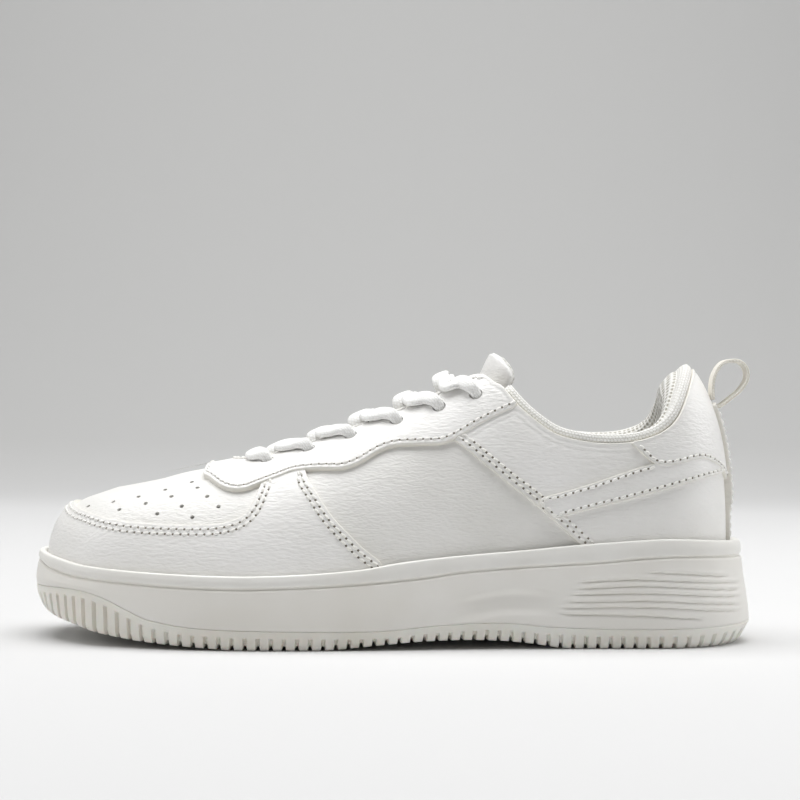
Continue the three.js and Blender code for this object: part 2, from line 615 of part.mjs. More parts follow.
// Padded collar: the edge of the foot opening, from the throat on the outer side round the heel and back
const toplineHeight = (x) => smooth([[29, 111], ...TOPLINE, [124, 112]], x);
function edgePlace(a, outer) {
  const c = columnOf(a, outer);
  const b = bisect(ROWS * 0.3, ROWS, (r) => {
    const p = onUpper(c, r, 0);
    return p.z / KZ < toplineHeight(p.x / KX);
  });
  return [c, b];
}
const edgeStations = [];
for (const share of [0.63, 0.65, 0.67, 0.69, 0.72, 0.77, 0.82, 0.87, 0.91, 0.955]) {
  edgeStations.push(share);
}
const edge = [
  ...edgeStations.map((s) => edgePlace(s * STATIONS, true)),
  edgePlace(STATIONS, true),
  ...edgeStations.slice().reverse().map((s) => edgePlace(s * STATIONS, false)),
];
const edgePoints = edge.map(([a, b]) => onUpper(a, b, 0));
const collarFrames = edge.map(([a, b], k) => {
  const point = edgePoints[k];
  const before = edgePoints[Math.max(0, k - 1)];
  const after = edgePoints[Math.min(edge.length - 1, k + 1)];
  const along = after.clone().sub(before).normalize();
  const out = onUpper(a, b, 1).sub(point);
  const up = out.clone().cross(along).normalize();
  if (up.z < 0) up.negate();
  const share = (a <= STATIONS ? a : RING - a) / STATIONS;
  const pad = COLLAR_PAD * (0.2 + 0.8 * ease(0.65, 0.78, share));
  const deep = 0.14 + 0.86 * ease(0.64, 0.75, share);
  const rowLength = onUpper(a, b - 1, 0).distanceTo(point);
  const place = (inward, high) => (high < 0
    ? onUpper(a, b + high / rowLength, -inward)
    : point.clone().addScaledVector(out, -inward).addScaledVector(up, high));
  return { place, pad, deep };
});
const FOAM_PROFILE = [[3.2, -22.5], [3.2, -4.4], [2.4, -2.4], [2, 0], [2.8, 1], [4.6, 1], [6.6, -0.6],
  [7.9, -5], [8.3, -13], [5.2, -21.5]];
const FOAM_SPACE = [[2.9, -30], [2.9, -4.6], [2.1, -2.6], [1.7, 0.2], [2.7, 1.3], [4.65, 1.3], [6.8, -0.4],
  [8.2, -4.9], [8.6, -13.1], [5.5, -21.7], [5.5, -30]];
const LINING_PROFILE = [[4.4, -24], [4.4, -4.4], [3.4, -2.2], [2.3, 0.5], [0, 0.6], [0.4, 2], [1.8, 3.3],
  [4.8, 3.6], [8.4, 1.8], [10.8, -4.6], [11.2, -13.4], [7.9, -23.2]];
const collarPart = (profile, skip) => sweep(collarFrames.slice(skip, edge.length - skip)
  .map(({ place, pad, deep }) => (k) => {
  const [a, b] = profile[k];
  return place(a < 3.25 ? a : 3.25 + (a - 3.25) * pad, b > -4.6 ? b : -4.6 + (b + 4.6) * deep);
}), profile.length);
add('collar_foam', collarPart(FOAM_PROFILE, 4), '#dfddd5', 0.95);
add('collar_lining', collarPart(LINING_PROFILE, 0).subtract(collarPart(FOAM_SPACE, 3)), '#f0efeb', 0.9);

// Tongue: a padded strip under the eyestay, sewn down at its front end
const TONGUE_LINE = [[-66, 59], [-50, 63.6], [-34, 69], [-19, 74.6], [-4, 80.8], [8, 85.6], [20, 90.6],
  [28, 95], [34, 100.4], [38.4, 106.6], [41.4, 112], [43, 115.6]];
const TONGUE_HALF = [18, 20, 22, 23.5, 24, 24, 23, 22, 22, 22, 20.5, 16];
const TONGUE_RADIUS = [32, 31, 30, 28, 25.5, 23, 20, 18.5, 18, 18, 19, 20];
const tonguePath = TONGUE_LINE.map(([x, z]) => new THREE.Vector3(x * KX, 0, z * KZ));

// The point at distance w across the tongue and height d over its outer face, at line station j
function onTongue(j, w, d) {
  const k = Math.min(tonguePath.length - 2, Math.floor(j));
  const point = tonguePath[k].clone().lerp(tonguePath[k + 1], j - k);
  const tangentAt = (n) => {
    const low = tonguePath[Math.max(0, n - 1)];
    const high = tonguePath[Math.min(tonguePath.length - 1, n + 1)];
    return high.clone().sub(low).normalize();
  };
  const t = tangentAt(k).lerp(tangentAt(k + 1), j - k).normalize();
  const out = new THREE.Vector3(-t.z, 0, t.x);
  const radius = TONGUE_RADIUS[k] + (TONGUE_RADIUS[k + 1] - TONGUE_RADIUS[k]) * (j - k);
  const angle = w / radius;
  const sunk = 1.1 * FACET_ROOM;
  point.y = -KY + (radius * KY + d) * Math.sin(angle);
  return point.addScaledVector(out, d * Math.cos(angle) - radius * KZ * (1 - Math.cos(angle)) - sunk);
}

function tonguePart(inset, top, bottom, first, last, step) {
  const frames = [];
  for (let j = first; j <= last + 1e-6; j += step) {
    const k = Math.min(TONGUE_HALF.length - 2, Math.floor(j));
    const half = TONGUE_HALF[k] + (TONGUE_HALF[k + 1] - TONGUE_HALF[k]) * (j - k) - inset;
    const thin = 0.55 + 0.45 * ease(0, 5, j);
    frames.push((n) => {
      const across = n < 7 ? -1 + n / 3 : 1 - (n - 7) / 3;
      return onTongue(j, half * across, n < 7 ? top * thin : bottom * thin);
    });
  }
  return sweep(frames, 14);
}
const tongueEnd = TONGUE_LINE.length - 1;
add('tongue_cover', tonguePart(0, 0, -0.9, 0, tongueEnd, 1), '#f4f3ef', 0.6);
add('tongue_foam', tonguePart(1.5, -1.8, 1.8 - TONGUE_PAD, 0.5, tongueEnd - 0.25, 1), '#dfddd5', 0.95);
add('tongue_lining', tonguePart(0, 0.9 - TONGUE_PAD, -TONGUE_PAD, 0, tongueEnd, 1), '#efeeea', 0.95);
const labelFrames = [7.9, 8.4, 8.9].map((j) => (n) => {
  const across = n < 3 ? 9 * n - 9 : 36 - 9 * n;
  return onTongue(j, across, (n < 3 ? 0.95 : 0.35) + FACET_ROOM / 4);
});
add('tongue_label', sweep(labelFrames, 6), '#e6e6e4', 0.6);

// Lace: straight over the front pair, then each strand comes out under one flap, crosses the throat and goes
// down through the next eyelet of the other flap
const throatHalf = (x) => smooth([[-62, 4], [-58, 7.2], [-50, 9.2], [-20, 11.5], [10, 13], [34, 14.5]], x);
const OVER = PANEL_IN + EYESTAY + GAP + 0.3 + LACE_THICKNESS / 2 + FACET_ROOM;
const UNDER = LINING_IN - GAP - 0.3 - LACE_THICKNESS / 2;
const flat = (x, y, d) => ({ x, y, d, wide: 1 });
const narrow = (x, y, d) => ({ x, y, d, wide: 0 });

function throughEyelet(k, side, down) {
  const [x, y] = EYELETS[k];
  const points = [flat(x, side * (y - 5), OVER), narrow(x, side * (y - 1.4), OVER + 0.3),
    narrow(x, side * y, 0.9), narrow(x, side * y, LINING_IN + 0.9), narrow(x, side * (y - 1.2), UNDER - 0.5),
    flat(x, side * (y - 5), UNDER)];
  return down ? points : points.reverse();
}

function crossing(k, side, upper) {
  const [x0, y0] = EYELETS[k];
  const [x1, y1] = EYELETS[k + 1];
  const at = (u, d) => {
    const half = throatHalf((x0 + x1) / 2);
    const y = side * u * half;
    const share = (side * y0 - y) / (side * (y0 + y1));
    return flat(x0 + (x1 - x0) * share, y, d);
  };
  const lift = 1.2 * FACET_ROOM;
  const middle = upper
    ? [at(0.8, UNDER), at(0.52, 3 + lift), at(0, 4.3 + lift), at(-0.75, 4.4 + lift)]
    : [at(0.8, UNDER), at(0.5, lift - 2.4), at(0, 0.6 + lift), at(-0.5, 0.5 + lift), at(-0.82, OVER),
      at(-1.15, OVER + 0.2)];
  return [...middle, ...throughEyelet(k + 1, -side, true)];
}

function strand(side, upper) {
  let points = [];
  let now = side;
  for (let k = 0; k < EYELETS.length - 1; k++) {
    points = [...points, ...crossing(k, now, upper === (k % 2 === 0))];
    now = -now;
  }
  const [x, y] = EYELETS[EYELETS.length - 1];
  const turn = points.pop();
  return [...points, { ...turn, y: now * (y + 1.2), wide: 0 }, flat(x - 1, now * (y + 5.5), UNDER - 0.4),
    narrow(x - 1.5, now * (y + 9), UNDER - 1.4)];
}
const half = throatHalf(EYELETS[0][0]);
const front = EYELETS[0][0];
const bar = [flat(front, -half, OVER), flat(front, 0, OVER - 0.3), flat(front, half, OVER)];
const lacePlan = [
  ...strand(-1, true).reverse(),
  ...throughEyelet(0, -1, false),
  ...bar,
  ...throughEyelet(0, 1, true),
  ...strand(1, false),
];
const laceWay = lacePlan.map(({ x, y, d }) => {
  const [a, b] = findOnUpper(x * KX, 'y', Math.max(0.02, Math.abs(y * KY)), y < 0);
  return onUpper(a, b, d);
});

function laceBody() {
  const count = laceWay.length;
  const ahead = new THREE.Vector3(1, 0, 0.42).normalize();
  const frames = laceWay.map((point, k) => {
    const tangent = laceWay[Math.min(count - 1, k + 1)].clone().sub(laceWay[Math.max(0, k - 1)]).normalize();
    const across = ahead.clone().addScaledVector(tangent, -ahead.dot(tangent)).normalize();
    const thick = across.clone().cross(tangent);
    const wide = lacePlan[k].wide ? LACE_WIDTH / 2 : 1.7;
    const deep = lacePlan[k].wide ? LACE_THICKNESS / 2 : 1.4;
    return (n) => {
      const [u, v] = [[1, 0], [0.72, 1], [-0.72, 1], [-1, 0], [-0.72, -1], [0.72, -1]][n];
      return point.clone().addScaledVector(across, u * wide).addScaledVector(thick, v * deep);
    };
  });
  return sweep(frames, 6);
}
add('lace', laceBody(), '#f7f6f3', 0.9);

function aglet(end, before) {
  const axis = end.clone().sub(before).normalize();
  const body = new THREE.CylinderGeometry(1.6, 1.8, AGLET, 8);
  body.applyQuaternion(new THREE.Quaternion().setFromUnitVectors(new THREE.Vector3(0, -1, 0), axis));
  const centre = end.clone().addScaledVector(axis, AGLET / 2 + 2 * GAP);
  body.translate(centre.x, centre.y, centre.z);
  return solidOfGeometry(body);
}
const last = laceWay.length - 1;
add('aglet_1', aglet(laceWay[0], laceWay[1]), '#e9e9e6', 0.35);
add('aglet_2', aglet(laceWay[last], laceWay[last - 1]), '#e9e9e6', 0.35);

// Pull loop: a webbing tab that stands on the top of the backstay
const LOOP_OUT = [[129.5, 97.5], [129.2, 102], [129.7, 106.5], [131.3, 110.5], [134, 113.4], [137.7, 114.4],
  [141.3, 114], [144.1, 111.6], [145.1, 108], [144.3, 104.4], [141.5, 100.6], [137.7, 97.4], [133.9, 94.6],
  [131.3, 93.8]];
const LOOP_IN = [[131.2, 98.6], [130.8, 102], [131.3, 106], [132.7, 109.6], [134.9, 111.9], [137.7, 112.8],
  [140.5, 112.4], [142.7, 110.6], [143.5, 107.9], [142.7, 105], [140.4, 101.8], [136.7, 98.7], [133.1, 96.2]];
const loop = sidePrism(LOOP_OUT, -LOOP_WIDTH / 2, LOOP_WIDTH / 2);
add('pull_loop', loop.subtract(sidePrism(LOOP_IN, -20, 20)), '#efe8d3', 0.85);

// The origin: the middle of the whole shoe's outline, on the floor
const whole = new THREE.Box3().setFromObject(group);
const centre = whole.getCenter(new THREE.Vector3());
group.traverse((mesh) => {
  if (mesh.isMesh) mesh.geometry.translate(-centre.x, -centre.y, -whole.min.z);
});

export default group;
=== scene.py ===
import math

import bmesh
import bpy
import numpy as np
from mathutils import Matrix, Vector


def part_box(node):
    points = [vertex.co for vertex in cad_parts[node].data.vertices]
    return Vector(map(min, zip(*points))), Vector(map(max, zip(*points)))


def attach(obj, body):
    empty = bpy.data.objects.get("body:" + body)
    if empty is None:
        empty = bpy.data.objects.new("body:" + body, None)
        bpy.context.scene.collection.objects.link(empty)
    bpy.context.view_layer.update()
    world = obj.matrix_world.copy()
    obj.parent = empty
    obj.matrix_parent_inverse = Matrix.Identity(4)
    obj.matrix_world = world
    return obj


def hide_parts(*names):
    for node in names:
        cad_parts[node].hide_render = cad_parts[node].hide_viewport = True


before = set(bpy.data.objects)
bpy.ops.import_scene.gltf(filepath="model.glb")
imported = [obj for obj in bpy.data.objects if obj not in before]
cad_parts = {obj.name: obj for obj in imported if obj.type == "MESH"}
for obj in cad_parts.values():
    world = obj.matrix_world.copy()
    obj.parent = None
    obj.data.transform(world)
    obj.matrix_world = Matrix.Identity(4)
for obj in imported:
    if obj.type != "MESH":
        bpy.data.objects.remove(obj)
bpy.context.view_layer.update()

# A low, laced cheer shoe for the left foot. The tables are in millimetres, with the toe towards -X and the outer
# side of the foot towards -Y. SHIFT takes them to the frame's origin, on the floor under the middle of the shoe.
loop_low, loop_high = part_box("pull_loop")
SHIFT = np.array([loop_high[0] * 1000 - 145.1, (loop_low[1] + loop_high[1]) * 500, 0.0])

# ---------------------------------------------------------------- Tables of the last and the sole

OUTER_SIDE = [(0, 6), (0.05, -7), (0.1, -18), (0.15, -27.5), (0.2, -36.5), (0.3, -46.6), (0.4, -48.6),
              (0.5, -43.8), (0.6, -36.6), (0.7, -33.6), (0.8, -31), (0.85, -26.5), (0.9, -19), (0.95, -10), (1, 0)]
INNER_SIDE = [(0, 6), (0.05, 17.5), (0.1, 25), (0.15, 32), (0.2, 37.5), (0.3, 45), (0.4, 45.5), (0.5, 39.5),
              (0.6, 34.5), (0.7, 32.5), (0.8, 30.7), (0.85, 26.5), (0.9, 19), (0.95, 10), (1, 0)]
TOE_X = -139.8
HEEL_X = 134.5
RIDGE_X = [(0, -102), (0.05, -100.5), (0.1, -97), (0.15, -92), (0.2, -85.5), (0.3, -68), (0.4, -41), (0.5, -3),
           (0.6, 34), (0.7, 60), (0.8, 77), (0.9, 88), (1, 93)]
RIDGE_Z = [(-102, 58.5), (-87, 62.2), (-78, 64.8), (-62, 68.6), (-50, 72), (-34, 77.5), (-19, 83.5), (-4, 90),
           (8, 95.5), (20, 102), (32, 110), (45, 117.5), (60, 121), (80, 123), (93, 123)]
RIDGE_Y = [(-102, 3), (-60, 0), (0, -1.5), (60, -1), (93, 0)]
SIDE_P = [(0, 3), (0.15, 2.8), (0.35, 2.4), (0.6, 2.4), (0.8, 2.9), (1, 3.4)]
SIDE_Q = [(0, 3), (0.15, 2.8), (0.35, 2.3), (0.6, 2.3), (0.8, 2.2), (1, 2)]
CUP_FLOOR = [(-140, 24), (-115, 23.5), (-105, 20.5), (-95, 17.5), (-80, 15.5), (-60, 15), (-20, 16), (20, 20),
             (60, 24), (135, 27)]
RIM_TOP = [(-142, 35), (-138, 34.6), (-132, 33.4), (-120, 31.2), (-105, 30), (-80, 28.9), (-58, 28.5),
           (-35, 29.3), (-12, 31.2), (3, 33.8), (22, 36), (50, 38.3), (73, 40.6), (95, 42.2), (108, 42.9),
           (125, 42), (141, 40.5)]
RIM_GROOVE = [(-142, 32.4), (-138, 30.8), (-132, 28.6), (-122, 26.6), (-100, 25), (-73, 23.8), (-58, 23.7),
              (-42, 24.1), (-16, 25.4), (11, 27.9), (26, 30), (54, 32.2), (80, 33.8), (108, 36), (131, 35.4),
              (142, 34.6)]
TREAD_TOP = [(-145, 20.2), (-131, 21.4), (-118, 21.2), (-109, 18.8), (-100, 14.6), (-92, 11.2), (-73, 8.4),
             (-35, 7.4), (-4, 7.5), (15, 9.2), (42, 10.2), (62, 8.6), (89, 7.6), (112, 7.8), (130, 8.6),
             (138, 10.1), (145, 11.7)]
TREAD = [(-146, 15), (-142, 13), (-132, 9.6), (-122, 7.4), (-113, 5.2), (-97, 2.9), (-81, 1.5), (-66, 0.4),
         (-56, -0.2), (-30, -0.2), (-20, 0.5), (-4, 2), (11, 3.2), (27, 3.6), (42, 3.2), (54, 2.1), (65, 0.5),
         (74, -0.3), (133, -0.3), (139, 0.6), (145, 4)]
TOPLINE = [(31, 113.2), (35, 112.6), (38.5, 109.4), (42, 104.2), (46, 99), (50, 94.3), (54, 90.8),
           (58, 87.6), (62, 84.9), (66, 83), (73, 81.3), (81, 80.3), (89, 80.3), (97, 81.2),
           (101, 82.4), (105, 84), (109, 86.8), (112, 90.4), (114, 94.4), (116, 99), (118, 104),
           (120.5, 109.5)]

# Edges of the panels in side view (x, z) and in plan (x, y)
EYESTAY_LOW = [(-75.4, 64.6), (-73.2, 64), (-70.6, 62.6), (-68, 61.2), (-64.4, 60), (-60, 59.7),
               (-56, 60.5), (-52.8, 61.8), (-48, 63.6), (-44, 65.1), (-40, 66.7),
               (-36, 67.6), (-28, 68.3), (-20.6, 68.5), (-16.7, 69.4), (-12.8, 71), (-8.9, 73.3), (-5, 75.6),
               (-1, 77.2), (3, 78), (10.7, 78.4), (18.5, 78.8), (22.4, 79.9), (26.3, 81.8), (34, 86.4),
               (42, 90.5), (50.3, 94.2), (62, 99)]
MUDGUARD_TOP = [(-142, 60), (-134, 56), (-130, 53.6), (-125, 51.4), (-120, 50.3), (-110, 48.3), (-98, 47.2),
                (-82, 46.9), (-70, 47.2), (-63, 48.4), (-59, 50), (-56.5, 52), (-54.5, 55), (-52.8, 59),
                (-51.6, 62.2), (-50, 68)]
MUDGUARD_REAR = [(-35, 71), (-34, 67.7), (-33, 64.9), (-31.4, 62.3), (-28.9, 58.9), (-26.4, 55.2), (-23.3, 51),
                 (-20.1, 47.6), (-16.2, 43.8), (-12.3, 40), (-8.4, 36.8), (-4, 33), (2, 20), (2, 0)]
REAR_FRONT = [(18, 85), (24, 80.6), (27, 78.6), (30.2, 76.2), (34, 73), (38, 69.9), (45.8, 63.6), (49.7, 60.8),
              (53.6, 57.9), (59.5, 53), (63.4, 49.5), (67.3, 46.1), (71.3, 42.3), (77, 36), (82, 20), (82, 0)]
BAND_TOP = [(56, 57.4), (58.6, 58.6), (65, 60.3), (73, 62.6), (81, 65.1), (89, 67.9), (97, 70.6), (104, 72.8),
            (131, 84), (150, 84)]
BAND_LOW = [(150, 71.5), (131, 68.1), (122, 66.3), (113, 63.8), (100.6, 60.3), (88.7, 57.1), (77, 54.2),
            (69, 52), (63.2, 50.2)]
HEEL_TAB_LOW = [(90, 88), (91.5, 84), (93, 80.4), (96.8, 76.9), (100.8, 73), (103, 71.8), (107, 71.1), (113, 72),
                (118, 73.3), (122.4, 73.5), (127.5, 71.4), (131, 68.4), (133.5, 64), (136, 56), (150, 52)]
THROAT_SIDE = [(-62, 0), (-61, 4.5), (-58, 7.2), (-50, 9.2), (-20, 11.5), (10, 13), (33, 14.5), (44, 22),
               (70, 26)]
EYELETS = [(-49.7, 18), (-33, 19), (-16.3, 19.8), (2, 20.6), (18.8, 21.2), (33.2, 21.8)]
PERFORATIONS = [(-121.9, 53), (-110.9, 55.2), (-100.6, 57.4), (-90.2, 60.2), (-80, 63.2), (-107.6, 52.5),
                (-97.1, 55), (-87.1, 57.8), (-77.1, 61.2), (-91.9, 51.3), (-82.4, 54.3), (-72.7, 58.1),
                (-77.8, 50.3), (-67.8, 54.4)]

# ---------------------------------------------------------------- The upper's surface

SIDE = 200
ROWS = 64
RING = 2 * SIDE


def smooth(table, x):
    """A smooth curve through the rows (x, value) of a table."""
    xs, ys = np.array(table, dtype=float).T
    slope = np.gradient(ys, xs)
    slope[1:-1] = (ys[2:] - ys[:-2]) / (xs[2:] - xs[:-2])
    x = np.clip(np.asarray(x, dtype=float), xs[0], xs[-1])
    k = np.clip(np.searchsorted(xs, x) - 1, 0, len(xs) - 2)
    h = xs[k + 1] - xs[k]
    t = (x - xs[k]) / h
    u = 1 - t
    return (ys[k] * (1 + 2 * t) * u * u + slope[k] * h * t * u * u
            + ys[k + 1] * t * t * (3 - 2 * t) - slope[k + 1] * h * t * t * u)


def ease(a, b, x):
    t = np.clip((np.asarray(x, dtype=float) - a) / (b - a), 0, 1)
    return t * t * (3 - 2 * t)


def unit(v):
    return v / np.maximum(np.linalg.norm(v, axis=-1, keepdims=True), 1e-12)


def rib(share, outer):
    """One rib of the outer face, from the cup floor up to the ridge, evenly spaced along its length."""
    foot_x = (TOE_X + HEEL_X) / 2 - (HEEL_X - TOE_X) / 2 * math.cos(math.pi * share)
    foot_y = smooth(OUTER_SIDE if outer else INNER_SIDE, share)
    foot_z = smooth(CUP_FLOOR, foot_x)
    ridge_x = smooth(RIDGE_X, share)
    ridge_y = smooth(RIDGE_Y, ridge_x)
    ridge_z = smooth(RIDGE_Z, ridge_x)
    a = np.linspace(0, math.pi / 2, 500)
    up = np.sin(a) ** (2 / smooth(SIDE_P, share))
    out = np.maximum(np.cos(a), 0) ** (2 / smooth(SIDE_Q, share))
    line = np.stack([ridge_x + (foot_x - ridge_x) * out,
                     ridge_y + (foot_y - ridge_y) * out,
                     foot_z + (ridge_z - foot_z) * up], 1)
    length = np.concatenate([[0], np.cumsum(np.linalg.norm(np.diff(line, axis=0), axis=1))])
    goal = np.linspace(0, length[-1], ROWS + 1)
    return np.stack([np.interp(goal, length, line[:, k]) for k in range(3)], 1)


def whole_upper():
    columns = [rib(i / SIDE, True) if i <= SIDE else rib((RING - i) / SIDE, False) for i in range(RING)]
    return arched(np.array(columns))


def arched(grid, rows=22):
    """The grid with its two sides joined over the ridge by one smooth arch, ahead of the throat."""
    start = ROWS - rows
    opposite = grid[(RING - np.arange(RING)) % RING]
    p, q = grid[:, start], opposite[:, start]
    rise = (grid[:, start] - grid[:, start - 2]) / 2 * (2 * rows)
    fall = (opposite[:, start - 2] - opposite[:, start]) / 2 * (2 * rows)
    t = (np.arange(rows + 1) / (2 * rows))[None, :, None]
    arch = ((1 + 2 * t) * (1 - t) ** 2 * p[:, None] + t * (1 - t) ** 2 * rise[:, None]
            + t * t * (3 - 2 * t) * q[:, None] - t * t * (1 - t) * fall[:, None])
    share = ease(-46, -62, grid[:, ROWS, 0])[:, None, None]
    grid[:, start:] = grid[:, start:] * (1 - share) + arch * share
    return grid


UPPER = whole_upper()
MIRROR = (RING - np.arange(RING)) % RING


def surface_slopes(values):
    """Differences of grid values round the foot and up the side; the ridge reads across to the other side."""
    values = values.reshape(RING, ROWS + 1, -1)
    round_foot = (np.roll(values, -1, 0) - np.roll(values, 1, 0)) / 2
    over = np.concatenate([values[:, :1] * 2 - values[:, 1:2], values, values[MIRROR, ROWS - 1:ROWS]], 1)
    upward = (over[:, 2:] - over[:, :-2]) / 2
    return round_foot, upward


def surface_normals():
    round_foot, upward = surface_slopes(UPPER)
    normal = unit(np.cross(round_foot, upward))
    top = unit(normal[:, ROWS - 1] + normal[MIRROR, ROWS - 1])
    normal[:, ROWS] = top
    for _ in range(2):
        beside = np.roll(normal, 1, 0)[:, 1:-1], np.roll(normal, -1, 0)[:, 1:-1]
        normal[:, 1:-1] = unit(normal[:, 1:-1] * 2 + beside[0] + beside[1])
    return normal


NORMAL = surface_normals()


def on_upper(a, b, d=0.0):
    """Points at column a and row b (both may be fractions), moved out by d."""
    a = np.asarray(a, dtype=float)
    b = np.clip(np.asarray(b, dtype=float), 0, ROWS)
    i = np.floor(a).astype(int)
    r = np.minimum(np.floor(b).astype(int), ROWS - 1)
    u = (a - i)[..., None]
    v = (b - r)[..., None]
    i0, i1 = i % RING, (i + 1) % RING

    def mixed(grid):
        low = grid[i0, r] * (1 - u) + grid[i1, r] * u
        high = grid[i0, r + 1] * (1 - u) + grid[i1, r + 1] * u
        return low * (1 - v) + high * v

    return mixed(UPPER) + unit(mixed(NORMAL)) * np.asarray(d, dtype=float)[..., None]


def facing(a, b):
    return unit(on_upper(a, b, 1.0) - on_upper(a, b, 0.0))


def find_on_upper(x, key, value, outer):
    """The column and row whose X and one more coordinate match: "z", or "y" as a distance from the middle."""
    i_range = np.arange(SIDE + 1) if outer else (RING - np.arange(SIDE + 1)) % RING
    grid = UPPER[i_range]
    column_at = np.array([np.interp(x, grid[:, r, 0], np.arange(SIDE + 1)) for r in range(ROWS + 1)])
    k = np.clip(column_at.astype(int), 0, SIDE - 1)
    t = (column_at - k)[:, None]
    rows = np.arange(ROWS + 1)
    line = grid[k, rows] * (1 - t) + grid[k + 1, rows] * t
    if key == "z":
        b = np.interp(value, line[:, 2], rows)
    else:
        side = -line[:, 1] if outer else line[:, 1]
        b = np.interp(-value, -side, rows)
    a = np.interp(b, rows, column_at)
    return (a if outer else RING - a), b


# ---------------------------------------------------------------- Distances from the panels' edges


def flowing(points, steps=6):
    """A smooth line through points."""
    p = np.array(points, dtype=float)
    p = np.concatenate([2 * p[:1] - p[1:2], p, 2 * p[-1:] - p[-2:-1]])
    line = []
    for k in range(1, len(p) - 2):
        for t in np.arange(steps) / steps:
            line.append(0.5 * (2 * p[k] + (p[k + 1] - p[k - 1]) * t
                               + (2 * p[k - 1] - 5 * p[k] + 4 * p[k + 1] - p[k + 2]) * t * t
                               + (3 * p[k] - p[k - 1] - 3 * p[k + 1] + p[k + 2]) * t ** 3))
    line.append(p[-2])
    return [tuple(q) for q in line]


def distance_inside(outline, x, y):
    """Distance from a closed outline, positive inside it."""
    nearest = np.full(x.shape, 1e9)
    inside = np.zeros(x.shape, dtype=bool)
    for (x0, y0), (x1, y1) in zip(outline, outline[1:] + outline[:1]):
        dx, dy = x1 - x0, y1 - y0
        if dx == 0 and dy == 0:
            continue
        t = np.clip(((x - x0) * dx + (y - y0) * dy) / (dx * dx + dy * dy), 0, 1)
        nearest = np.minimum(nearest, np.hypot(x - x0 - t * dx, y - y0 - t * dy))
        if dy != 0:
            crosses = ((y0 > y) != (y1 > y)) & (x < dx * (y - y0) / dy + x0)
            inside ^= crosses
    return np.where(inside, nearest, -nearest)


def true_distance(field):
    """Turns a distance seen from the side or from above into one along the leather."""
    ju, jv = surface_slopes(UPPER)
    fu, fv = surface_slopes(field)
    fu, fv = fu[..., 0], fv[..., 0]
    e, f, g = (ju * ju).sum(-1), (ju * jv).sum(-1), (jv * jv).sum(-1)
    slope = (g * fu * fu - 2 * f * fu * fv + e * fv * fv) / np.maximum(e * g - f * f, 1e-9)
    return field / np.clip(np.sqrt(slope), 0.45, 1.0)


def from_side(outline):
    return true_distance(distance_inside(outline, UPPER[..., 0], UPPER[..., 2]))


def from_above(outline):
    return true_distance(distance_inside(outline, UPPER[..., 0], UPPER[..., 1]))


def both(*fields):
    return np.minimum.reduce(fields)


def topline(drop):
    rim = [(x, z - drop) for x, z in flowing(TOPLINE)]
    return [(28, 175), (28, 113.5)] + rim + [(123, 111 - drop), (175, 112 - drop), (175, 175)]


throat_line = flowing(THROAT_SIDE)
throat_plan = throat_line + [(x, -y) for x, y in throat_line[::-1]]
across = UPPER[..., 1]
outer_half = np.repeat((np.arange(RING) <= SIDE)[:, None], ROWS + 1, 1)

out_of_mouth = -from_side(topline(0.15))
out_of_throat = -from_above(throat_plan)
behind_seam = from_side([(-47, 200), (-47, 100), (-44, 62), (-40, 36), (-38, 0), (200, 0), (200, 200)])
flap = from_side(flowing(EYESTAY_LOW) + [(62, 200), (-75.4, 200)])
mudguard = from_side([(-200, 0), (-200, 60)] + flowing(MUDGUARD_TOP) + flowing(MUDGUARD_REAR))
rear_panel = from_side(flowing(REAR_FRONT) + [(200, 0), (200, 120), (60, 120)])
band = from_side(flowing(BAND_TOP) + flowing(BAND_LOW))
heel_tab = from_side(flowing(HEEL_TAB_LOW) + [(200, 52), (200, 200), (90, 200)])
strip = np.where(UPPER[..., 0] > 100, 5.5 - np.abs(across), -20.0)

# ---------------------------------------------------------------- Meshes


def mesh_object(name, points, faces, materials, face_materials=None, edges=(), soft=True):
    """A piece from points in millimetres, with its place in its mesh."""
    mesh = bpy.data.meshes.new(name)
    mesh.from_pydata(((np.asarray(points, dtype=float) + SHIFT) / 1000).tolist(), list(edges), faces)
    for material in materials:
        mesh.materials.append(material)
    if face_materials is not None:
        mesh.polygons.foreach_set("material_index", face_materials)
    mesh.validate()
    if soft and len(mesh.polygons):
        mesh.polygons.foreach_set("use_smooth", [True] * len(mesh.polygons))
    obj = bpy.data.objects.new(name, mesh)
    bpy.context.scene.collection.objects.link(obj)
    return obj


def point_values(obj, name, values, kind="FLOAT"):
    attribute = obj.data.attributes.new(name, kind, "POINT")
    key = "vector" if kind == "FLOAT_VECTOR" else "value"
    attribute.data.foreach_set(key, np.asarray(values, dtype=float).ravel())


def crisp(obj, angle=35):
    """Smooth faces with hard edges where they fold more than angle."""
    obj.data.set_sharp_from_angle(angle=math.radians(angle))
    return obj


def grid_corner(i, r):
    i = i % RING
    if r == ROWS and i > SIDE:
        i = RING - i
    return i * (ROWS + 1) + r


